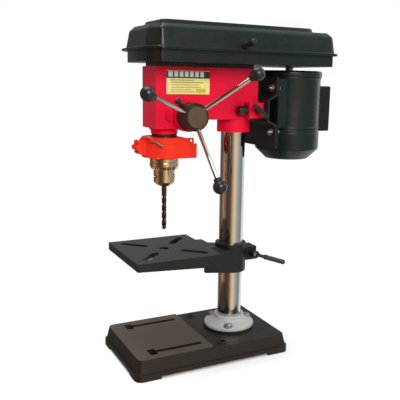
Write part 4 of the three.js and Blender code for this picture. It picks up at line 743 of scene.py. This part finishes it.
softened("guard_clamp", 0.7, "orangeAbs", "quill")
softened("guard_frame", 0.7, "orangeAbs", "guard")
softened("guard_clamp_screw", 0.4, "zincPlatedSteel", "quill")

# Belt cover.

coverDims = dict(lip=8, lipHeight=2, inset=2, draft=5, wallHeight=31, shoulder=8, corner=8, panelX=46, panelFront=26,
                 panelBack=21, panelCorner=12, panelDraft=4, wall=2, slant=9, slantFrom=0.6, slantTo=0.9,
                 knuckleDrop=5.15, edge=3.2)
bushDims = dict(y=58, height=20, radius=4.4, bore=3.2, depth=1.9, floor=0.6, tilt=0.16)


# Rounded rectangles from the middle of the raised panel down the outside, round the lip and up the inside.
def makeLid():
    d = coverDims
    low, high = span("cover_lid")
    halfX = high[0] - d["lip"]
    front, back, top = low[1] + d["lip"], high[1] - d["lip"], high[2]
    foot = low[2] + d["knuckleDrop"]         # the knuckle hangs half its width below the lip
    shoulder, roof = foot + d["wallHeight"], foot + d["wallHeight"] + d["shoulder"]
    inset, sloped, wall = d["inset"], d["inset"] - d["draft"], d["wall"]

    def station(grow, z):
        return ([-halfX - grow, halfX + grow], [front - grow, back + grow], max(d["corner"] + grow, 2), z)

    def panel(shrink, z):
        return ([-d["panelX"] + shrink, d["panelX"] - shrink],
                [front + d["panelFront"] + shrink, back - d["panelBack"] - shrink],
                max(d["panelCorner"] - shrink, 2), z)

    def centre(z):
        return ([-2, 2], [-30, -10], 1.0, z)

    # the corner rounding of the profiles, on the numbers that make up the stations
    def smooth(rows, radius):
        flat = rounded([[*x, *y, r, z] for x, y, r, z in rows], radius, closed=False, steps=5)
        return [([f[0], f[1]], [f[2], f[3]], f[4], f[5]) for f in flat]

    lipTop = foot + d["lipHeight"]
    outside = [centre(top), panel(d["panelDraft"], top), panel(0, roof), station(sloped - d["shoulder"], roof),
               station(sloped, shoulder), station(inset, lipTop), station(d["lip"], lipTop), station(d["lip"], foot)]
    inside = [station(inset - wall, foot), station(sloped - wall, shoulder),
              station(sloped - d["shoulder"] - wall, roof - wall), centre(roof - wall)]
    rows = smooth(outside, d["edge"]) + smooth([outside[-1]] + inside, 1.0)[1:]
    points = loft(rows, corner=10, edge=40)
    # shallow slant across the front corners: pushed back in step with how far out a point lies
    isShell = np.array([abs(x[1]) > halfX - 25 for x, y, r, z in rows])[:, None]
    reach = np.abs(points[..., 0]) / np.abs(points[..., 0]).max(1, keepdims=True)
    outward = np.clip((reach - d["slantFrom"]) / (d["slantTo"] - d["slantFrom"]), 0, 1)
    forward = np.clip((front + 90 - points[..., 1]) / 80, 0, 1)
    points[..., 1] += d["slant"] * outward * forward * isShell
    # dark rubber bush in the small hole of the right side
    b = bushDims
    sideX = halfX + inset - d["draft"] * b["height"] / d["wallHeight"] - 1.2
    bush = [(0, 0), (b["radius"], 0), (b["radius"], b["depth"]), (b["bore"], b["depth"]),
            (b["bore"] - 0.2, b["floor"]), (0, b["floor"])]
    lathed("cable_hole_bush", bush, 0.3, 32, (sideX, b["y"], foot + b["height"]), "nitrileRubber", "lid", (),
           (1, 0, b["tilt"]))
    surface("cover_lid_shell", capped(points), "blackEnamelPaintedTealSheen", "lid", "cover_lid", sharp=50)


makeLid()
softened("belt_pan", 0.9, "blackEnamelPaintedTealSheen", "frame")

hingeDims = dict(pin=2.5, bore=2.8, knuckle=5, length=39.4)


# Round pin through the knuckles, and the lid's own knuckle round it.
def makeHinge():
    d = hingeDims
    low, high = span("lid_hinge_pin")
    x, y, z = (low + high) / 2
    lathed("hinge_pin_rod", sleeve(0, d["pin"], 0, high[1] - low[1]), 0.6, 32, (x, low[1], z), "zincPlatedSteel",
           "frame", "lid_hinge_pin", toRear)
    lathed("lid_knuckle", sleeve(d["bore"], d["knuckle"], 0, d["length"]), 0.5, 48, (x, y - d["length"] / 2, z),
           "blackEnamelPaintedTealSheen", "lid", (), toRear, closed=True)


makeHinge()

handleDims = dict(tilt=9.5, length=38, radius=5.5, root=4.8, groove=4.9, grooveAt=12.6, dome=4.4, stud=3,
                  studLength=5)


# Straight handle with a domed end and a ring groove near its root, on a bright stud.
def makeLidHandle():
    d = handleDims
    low, high = span("lid_knob")
    tilt, radius, length = math.radians(d["tilt"]), d["radius"], d["length"]
    line = np.array([math.cos(tilt), 0, math.sin(tilt)])
    end = np.array([high[0] - radius * math.sin(tilt), (low[1] + high[1]) / 2, high[2] - radius * math.cos(tilt)])
    start = end - line * length
    groove, grooveAt = d["groove"], d["grooveAt"]
    grip = [(0, d["root"]), (4.6, d["root"]), (radius, 6), (radius, grooveAt - 0.6), (groove, grooveAt),
            (groove, grooveAt + 1), (radius, grooveAt + 1.6), (radius, length - 3), (d["dome"], length - 0.4),
            (0, length)]
    lathed("lid_handle", grip, 0.8, 56, start, "blackPhenolic", "lid", "lid_knob", line)
    lathed("lid_handle_stud", sleeve(0, d["stud"], 0, d["studLength"]), 0.4, 32, start - line * 0.5,
           "zincPlatedSteel", "lid", (), line)


makeLidHandle()
print("belt cover")

# Pulleys and belt.

pulleyDims = dict(step=9, land=1, depth=6, small=24, rise=4, motorSmall=13, steps=5, spindleHub=19.4, motorHub=13.2,
                  spindleBore=8.3, motorBore=7.8, edge=0.3)
beltDims = dict(spindleRadius=31.7, motorRadius=20.7, depth=5.0, taper=0.62, edge=0.5)


# Cone pulley with a V groove on every step, from its hub up.
def makePulley(node, bore, hub, radii, body, bottom):
    d = pulleyDims
    axis, hubLow = middle(node), span(node)[0][2]
    corners = [(bore, hubLow), (hub, hubLow), (hub, bottom)]
    for i, radius in enumerate(radii):
        z = bottom + i * d["step"]
        inner = max(radius - d["depth"], bore + 0.8)
        corners += [(radius, z), (radius, z + d["land"]), (inner, z + 3.0), (inner, z + 6.0),
                    (radius, z + d["step"] - d["land"]), (radius, z + d["step"])]
    corners += [(bore, bottom + d["steps"] * d["step"])]
    lathed(node + "_turned", corners, d["edge"], 128, (axis[0], axis[1], 0), "diecastAluminium", body, node,
           closed=True, steps=3)


# A tapered section carried round two arcs that share their tangents.
def makeBelt():
    d = beltDims
    low, high = span("v_belt")
    spindleY, motorY = middle("spindle_pulley")[1], middle("motor_pulley")[1]
    lean = math.asin((d["spindleRadius"] - d["motorRadius"]) / (motorY - spindleY))
    z, half = (low[2] + high[2]) / 2, (high[2] - low[2]) / 2 - 0.3
    narrow = half * d["taper"]
    section = rounded([(0, half), (0, -half), (-d["depth"], -narrow), (-d["depth"], narrow)], d["edge"], steps=3)

    def arc(angle, centreY, radius):
        out = np.stack([np.cos(angle), np.sin(angle)], 1)
        reach = radius + section[:, 0]
        return np.concatenate([out[:, None, :] * reach[None, :, None] + [0, centreY],
                               np.broadcast_to(section[:, 1:], (len(angle), len(section), 1)) + z], -1)

    points = np.concatenate([arc(np.linspace(np.pi - lean, 2 * np.pi + lean, 60), spindleY, d["spindleRadius"]),
                             arc(np.linspace(lean, np.pi - lean, 60), motorY, d["motorRadius"])])
    surface("v_belt_section", points.transpose(1, 0, 2), "nitrileRubber", "frame", "v_belt", ring=True)


pulleyFoot = span("spindle_pulley")[1][2] - pulleyDims["steps"] * pulleyDims["step"]
upward = pulleyDims["rise"] * np.arange(pulleyDims["steps"])
makePulley("spindle_pulley", pulleyDims["spindleBore"], pulleyDims["spindleHub"], pulleyDims["small"] + upward[::-1],
           "upper_pulley", pulleyFoot)
makePulley("motor_pulley", pulleyDims["motorBore"], pulleyDims["motorHub"], pulleyDims["motorSmall"] + upward,
           "rotor", pulleyFoot)
makeBelt()
print("pulleys")

# Motor and its slide.

motorDims = dict(radius=62, wall=4, seam=0.8, bore=7.8, foot=3.7, footCorner=6.0, footEdge=0.8, webX=44, web=10,
                 bell=21, bellHeight=20, bellSkin=0.7, nose=16, flatGap=4.2, cap=1.5, capBore=9.8, capDepth=4,
                 shaft=7.5, rotor=32, rotorGap=14)


# Drum, bell, cap and rotor turned about the motor's axis; the foot is a rounded plate on two webs.
def makeMotor():
    d = motorDims
    enamel, axisY, radius, wall = "blackEnamelPaintedTealSheen", middle("motor_shaft")[1], d["radius"], d["wall"]
    onMotor = (0, axisY, 0)
    low, high = span("motor_housing")
    top, bottom = high[2], span("motor_end_bell")[1][2] + 0.3
    thin = radius - d["seam"]
    drum = [(radius, bottom), (radius, bottom + 3), (thin, bottom + 3.6), (thin, top - 3.6), (radius, top - 3),
            (radius, top), (radius - wall, top), (radius - wall, bottom)]
    lathed("motor_drum", drum, 0.5, 160, onMotor, enamel, "motor", "motor_housing", closed=True)
    front, back, edge = low[1], low[1] + d["foot"], d["footEdge"]
    rows = [((low[0] + shrink, high[0] - shrink), (low[2] + shrink, top - shrink), d["footCorner"], y)
            for shrink, y in ((edge, front), (0.0, front + edge), (0.0, back - edge), (edge, back))]
    surface("motor_foot", capped(loft(rows)[..., [0, 2, 1]]), enamel, "motor", ())
    for side, x in (("left", -d["webX"]), ("right", d["webX"])):
        plan = ((x - d["web"] / 2, x + d["web"] / 2), (back - 0.5, axisY - 30), 1.5)
        surface(f"motor_web_{side}", capped(loft([(*plan, bottom + 4), (*plan, top - 4)])), enamel, "motor", ())

    low, high = span("motor_end_bell")
    base, bellTop, small, skin = low[2], low[2] + d["bellHeight"], radius - d["bell"], radius - d["bellSkin"]
    bell = [(d["bore"], base), (d["nose"], base), (d["nose"] + 1, base + 1.2), (small - 2, base + 1.2), (small, base),
            (radius, bellTop), (radius, high[2] - 8), (radius, high[2] - 7.4), (skin, high[2] - 7), (skin, high[2]),
            (radius - wall, high[2]), (radius - wall, bellTop + 2), (small - 2, base + wall),
            (d["bore"], base + wall)]
    points = lathe(rounded(bell, 1.6, steps=5), 240)
    # the bell is flat on the side that faces the head
    points[..., 1] = np.maximum(points[..., 1], front - axisY + d["flatGap"])
    surface("motor_bell", aim(points, onMotor), enamel, "motor", "motor_end_bell", ring=True, sharp=45)
    roof = span("motor_top_cap")[1][2]
    lip, ceiling, capBore = radius + d["cap"], roof - d["capDepth"], d["capBore"]
    cap = [(capBore, ceiling), (radius - wall, ceiling), (radius - wall, top + 0.3), (lip, top + 0.3),
           (lip, roof - 3), (radius - 2, roof), (capBore, roof)]
    lathed("motor_cap_turned", cap, 1.2, 160, onMotor, enamel, "motor", "motor_top_cap", closed=True)
    softened("capacitor_box", 3.0, "blackAbs", "motor", 3)
    softened("motor_bracket", 0.9, "blackPaintOnIron", "motor")
    low, high = span("motor_shaft")
    shaft, core, coreLow, coreHigh = d["shaft"], d["rotor"], bottom + d["rotorGap"], top - d["rotorGap"]
    profile = [(0, low[2]), (shaft, low[2]), (shaft, coreLow), (core, coreLow), (core, coreHigh), (shaft, coreHigh),
               (shaft, high[2]), (0, high[2])]
    lathed("rotor_turned", profile, 0.6, 96, onMotor, "turnedSteel", "rotor", "motor_shaft")


makeMotor()


# Plain cylinder whose radius ripples once in each pitch, with a domed end.
def threadedEnd(radius, length, pitch=1.5):
    z = np.linspace(0, length, int(length / pitch * 6))
    r = radius - 0.35 * (0.5 - 0.5 * np.cos(2 * np.pi * z / pitch))
    return np.concatenate([[(0, 0)], np.column_stack([r, z]), [(radius * 0.6, length + 0.5), (0, length + 0.6)]])


motorBolt = dict(flat=6.2, height=5, washer=7.4, washerHeight=1.0)
motorNut = dict(flat=6.2, height=4.4)
threadDims = dict(nutFrom=8, radius=3.9, length=6.4)
slideDims = dict(bar=8, bevel=1.4, shoulder=11.4, stud=5, nutAt=7)
slideNut = dict(flat=7.3, height=6)

for number in (1, 2, 3, 4):
    low, high = span(f"motor_bolt_{number}")
    x, y, z = (low + high) / 2
    headY, nutY = high[1] - motorBolt["height"] - motorBolt["washerHeight"], low[1] + threadDims["nutFrom"]
    surface(f"motor_hex_{number}", aim(hexHead(**motorBolt), (x, headY, z), toRear), "zincPlatedSteel", "motor",
            f"motor_bolt_{number}")
    surface(f"motor_nut_{number}", aim(hexHead(**motorNut), (x, nutY, z), toFront), "zincPlatedSteel", "motor", ())
    thread = lathe(threadedEnd(threadDims["radius"], threadDims["length"]), 32)
    surface(f"motor_thread_{number}", aim(thread, (x, nutY - 1, z), toFront), "zincPlatedSteel", "motor", ())

for side in ("left", "right"):
    d = slideDims
    low, high = span(f"slide_bar_{side}")
    x, y, z = (low + high) / 2
    length = high[1] - low[1]
    neck = length - d["shoulder"]
    bar = [(0, 0), (d["bar"] - d["bevel"], 0), (d["bar"], d["bevel"]), (d["bar"], neck), (d["stud"], neck),
           (d["stud"], length), (0, length)]
    lathed(f"slide_rod_{side}", bar, 0.4, 56, (x, low[1], z), "blackOxideSteel", "motor", f"slide_bar_{side}",
           toRear)
    surface(f"slide_nut_{side}", aim(hexHead(**slideNut), (x, high[1] - d["nutAt"], z), toRear), "zincPlatedSteel",
            "motor", ())

softened("tension_wing_screw", 1.4, "blackPhenolic", "wing_screw", 3)
print("motor")

# Table and its clamp.

softened("table", 1.3, "ironTable", "work_table", 3)
softened("table_clamp_bolt", 0.5, "zincPlatedSteel", "work_table")

leverDims = dict(hub=7.5, bore=4.4, hubLength=16, stem=3.4, grip=4.9, rings=13, ripple=0.55, start=(10.0, 0, 0),
                 end=(22.0, 62, -21), around=32, rows=160)


# Round hub, thin stem and a grip whose radius ripples into rings towards its end.
def makeLever():
    d = leverDims
    bolt = middle("table_clamp_bolt")
    root = np.array([span("table_lever")[0][0], bolt[1], bolt[2]])
    lathed("lever_hub", sleeve(d["bore"], d["hub"], 0, d["hubLength"]), 1.2, 56, root, "blackOxideSteel",
           "clamp_lever", "table_lever", toRight, closed=True)
    start, end = root + d["start"], root + d["end"]
    t = np.linspace(0, 1, d["rows"])
    path = start + (end - start) * t[:, None]
    grip = np.clip((t - 0.3) / 0.03, 0, 1)
    ripple = d["ripple"] * (0.5 - 0.5 * np.cos(2 * np.pi * (t - 0.32) / 0.68 * d["rings"])) * (t > 0.34)
    radius = d["stem"] + (d["grip"] - d["stem"]) * grip - ripple
    radius = radius * np.sqrt(np.clip(1 - ((t - 0.97) / 0.03).clip(0, 1) ** 2, 0, 1))    # round end
    points = tube(path, radius, d["around"])
    points = np.concatenate([np.broadcast_to(path[0], (1,) + points[0].shape), points])
    surface("lever_grip", points, "blackPhenolic", "clamp_lever", ())


makeLever()
print("table")
print("pieces made", pieceCount)


# Floor, light and camera.

stageDims = dict(reach=0.9, floor="#ffffff", fade=(0.2, 0.62), key=50.0, fill=36.0, rim=10.0)


# Flat white floor that fades out round the press, so that it has no edge.
def makeStage():
    size = stageDims["reach"]
    mesh = bpy.data.meshes.new("studioFloor")
    mesh.from_pydata([(-size, -size, 0), (size, -size, 0), (size, size, 0), (-size, size, 0)], [], [(0, 1, 2, 3)])
    floor = bpy.data.objects.new("studio_floor", mesh)
    bpy.context.scene.collection.objects.link(floor)
    material = bpy.data.materials.new("paleFloorPaint")
    material.use_nodes = True
    shader = material.node_tree.nodes["Principled BSDF"]
    shader.inputs["Base Color"].default_value = linear(stageDims["floor"])
    shader.inputs["Roughness"].default_value = 0.9
    tree = material.node_tree
    place = add(tree, "ShaderNodeTexCoord").outputs["Object"]
    away = add(tree, "ShaderNodeVectorMath", {"operation": "LENGTH"}, {0: place})
    fade = add(tree, "ShaderNodeMapRange", {":From Min": stageDims["fade"][0], ":From Max": stageDims["fade"][1]},
               {"Value": away.outputs["Value"]})
    clear = add(tree, "ShaderNodeBsdfTransparent")
    mixed = add(tree, "ShaderNodeMixShader", None,
                {0: fade.outputs["Result"], 1: shader.outputs[0], 2: clear.outputs[0]})
    tree.links.new(mixed.outputs[0], tree.nodes["Material Output"].inputs["Surface"])
    mesh.materials.append(material)
    floor.visible_glossy = False             # metal mirrors the walls, not the floor


# Rectangular soft light at a place, in metres, turned to its target.
def makeLight(name, place, target, size, power):
    data = bpy.data.lights.new(name, "AREA")
    data.energy = power
    data.shape = "RECTANGLE"
    data.size, data.size_y = size
    light = bpy.data.objects.new(name, data)
    bpy.context.scene.collection.objects.link(light)
    light.location = place
    aimed = Vector(target) - Vector(place)
    light.rotation_euler = aimed.to_track_quat("-Z", "Y").to_euler()


makeStage()
makeLight("keySoftbox", (2.3, -0.5, 1.5), (0, 0, 0.3), (1.2, 1.2), stageDims["key"])
makeLight("topSoftbox", (-0.3, -0.4, 2.4), (0, 0, 0.3), (1.6, 1.6), stageDims["fill"])
makeLight("rearSoftbox", (0.9, 2.0, 1.6), (0, 0, 0.35), (0.8, 1.4), stageDims["rim"])

# Plain soft walls round the press, evenly spaced by compass direction: warm boards, a cool one and dark gaps.
# Only reflections see them: the light on dull surfaces is even, and the view behind is white.
wallTones = dict(grey="#777777", dark="#333333", warm="#aa7755", brown="#554433", cream="#ddbb99", cool="#889999",
                 pale="#dddddd")
walls = ("grey", "dark", "warm", "dark", "brown", "cream", "cool", "grey", "pale", "grey", "grey")
worldDims = dict(even=0.5, mirrored=1.75, behind=1.0)


# White where nothing is seen, even light on dull surfaces, and the walls as a radial ramp in reflections.
def makeWorld():
    world = bpy.data.worlds.new("paleStudio")
    bpy.context.scene.world = world
    world.use_nodes = True
    tree = world.node_tree
    direction = add(tree, "ShaderNodeTexCoord").outputs["Generated"]
    radial = add(tree, "ShaderNodeTexGradient", {"gradient_type": "RADIAL"}, {"Vector": direction})
    ramp = add(tree, "ShaderNodeValToRGB", None, {"Fac": radial.outputs["Fac"]})
    ramp.color_ramp.elements[0].color = linear(wallTones[walls[0]])
    ramp.color_ramp.elements[1].color = linear(wallTones[walls[-1]])
    for number, wall in enumerate(walls[1:-1], 1):
        ramp.color_ramp.elements.new(number / (len(walls) - 1)).color = linear(wallTones[wall])
    path = add(tree, "ShaderNodeLightPath")
    white = [add(tree, "ShaderNodeBackground", {":Strength": worldDims[key]}) for key in ("even", "behind")]
    banded = add(tree, "ShaderNodeBackground", {":Strength": worldDims["mirrored"]}, {"Color": ramp.outputs["Color"]})
    for node in white:
        node.inputs["Color"].default_value = (1, 1, 1, 1)
    lit = add(tree, "ShaderNodeMixShader", None,
              {0: path.outputs["Is Glossy Ray"], 1: white[0].outputs[0], 2: banded.outputs[0]})
    seen = add(tree, "ShaderNodeMixShader", None,
               {0: path.outputs["Is Camera Ray"], 1: lit.outputs[0], 2: white[1].outputs[0]})
    tree.links.new(seen.outputs[0], tree.nodes["World Output"].inputs["Surface"])


makeWorld()

cameraDims = dict(azimuth=62.28, elevation=10.91, roll=1.14, lens=55.06, shift=-0.05, place=(1011.9, -556.5, 508.9))


# Camera at its place round the column, looking down a little, rolled about its own axis.
def makeCamera():
    d = cameraDims
    a, e, r = (math.radians(d[k]) for k in ("azimuth", "elevation", "roll"))
    back = Vector((math.sin(a) * math.cos(e), -math.cos(a) * math.cos(e), math.sin(e)))
    right = (-back).cross(Vector((0, 0, 1))).normalized()
    up = right.cross(-back)
    across = math.cos(r) * right + math.sin(r) * up
    upward = -math.sin(r) * right + math.cos(r) * up
    data = bpy.data.cameras.new("camera")
    data.sensor_width = 36
    data.lens = d["lens"]
    data.shift_x = d["shift"]
    camera = bpy.data.objects.new("camera", data)
    bpy.context.scene.collection.objects.link(camera)
    pose = Matrix((across, upward, back)).transposed().to_4x4()
    pose.translation = Vector(toFrame(d["place"]))
    camera.matrix_world = pose
    bpy.context.scene.camera = camera


makeCamera()
bpy.context.scene.view_settings.view_transform = "Standard"
print("stage set")
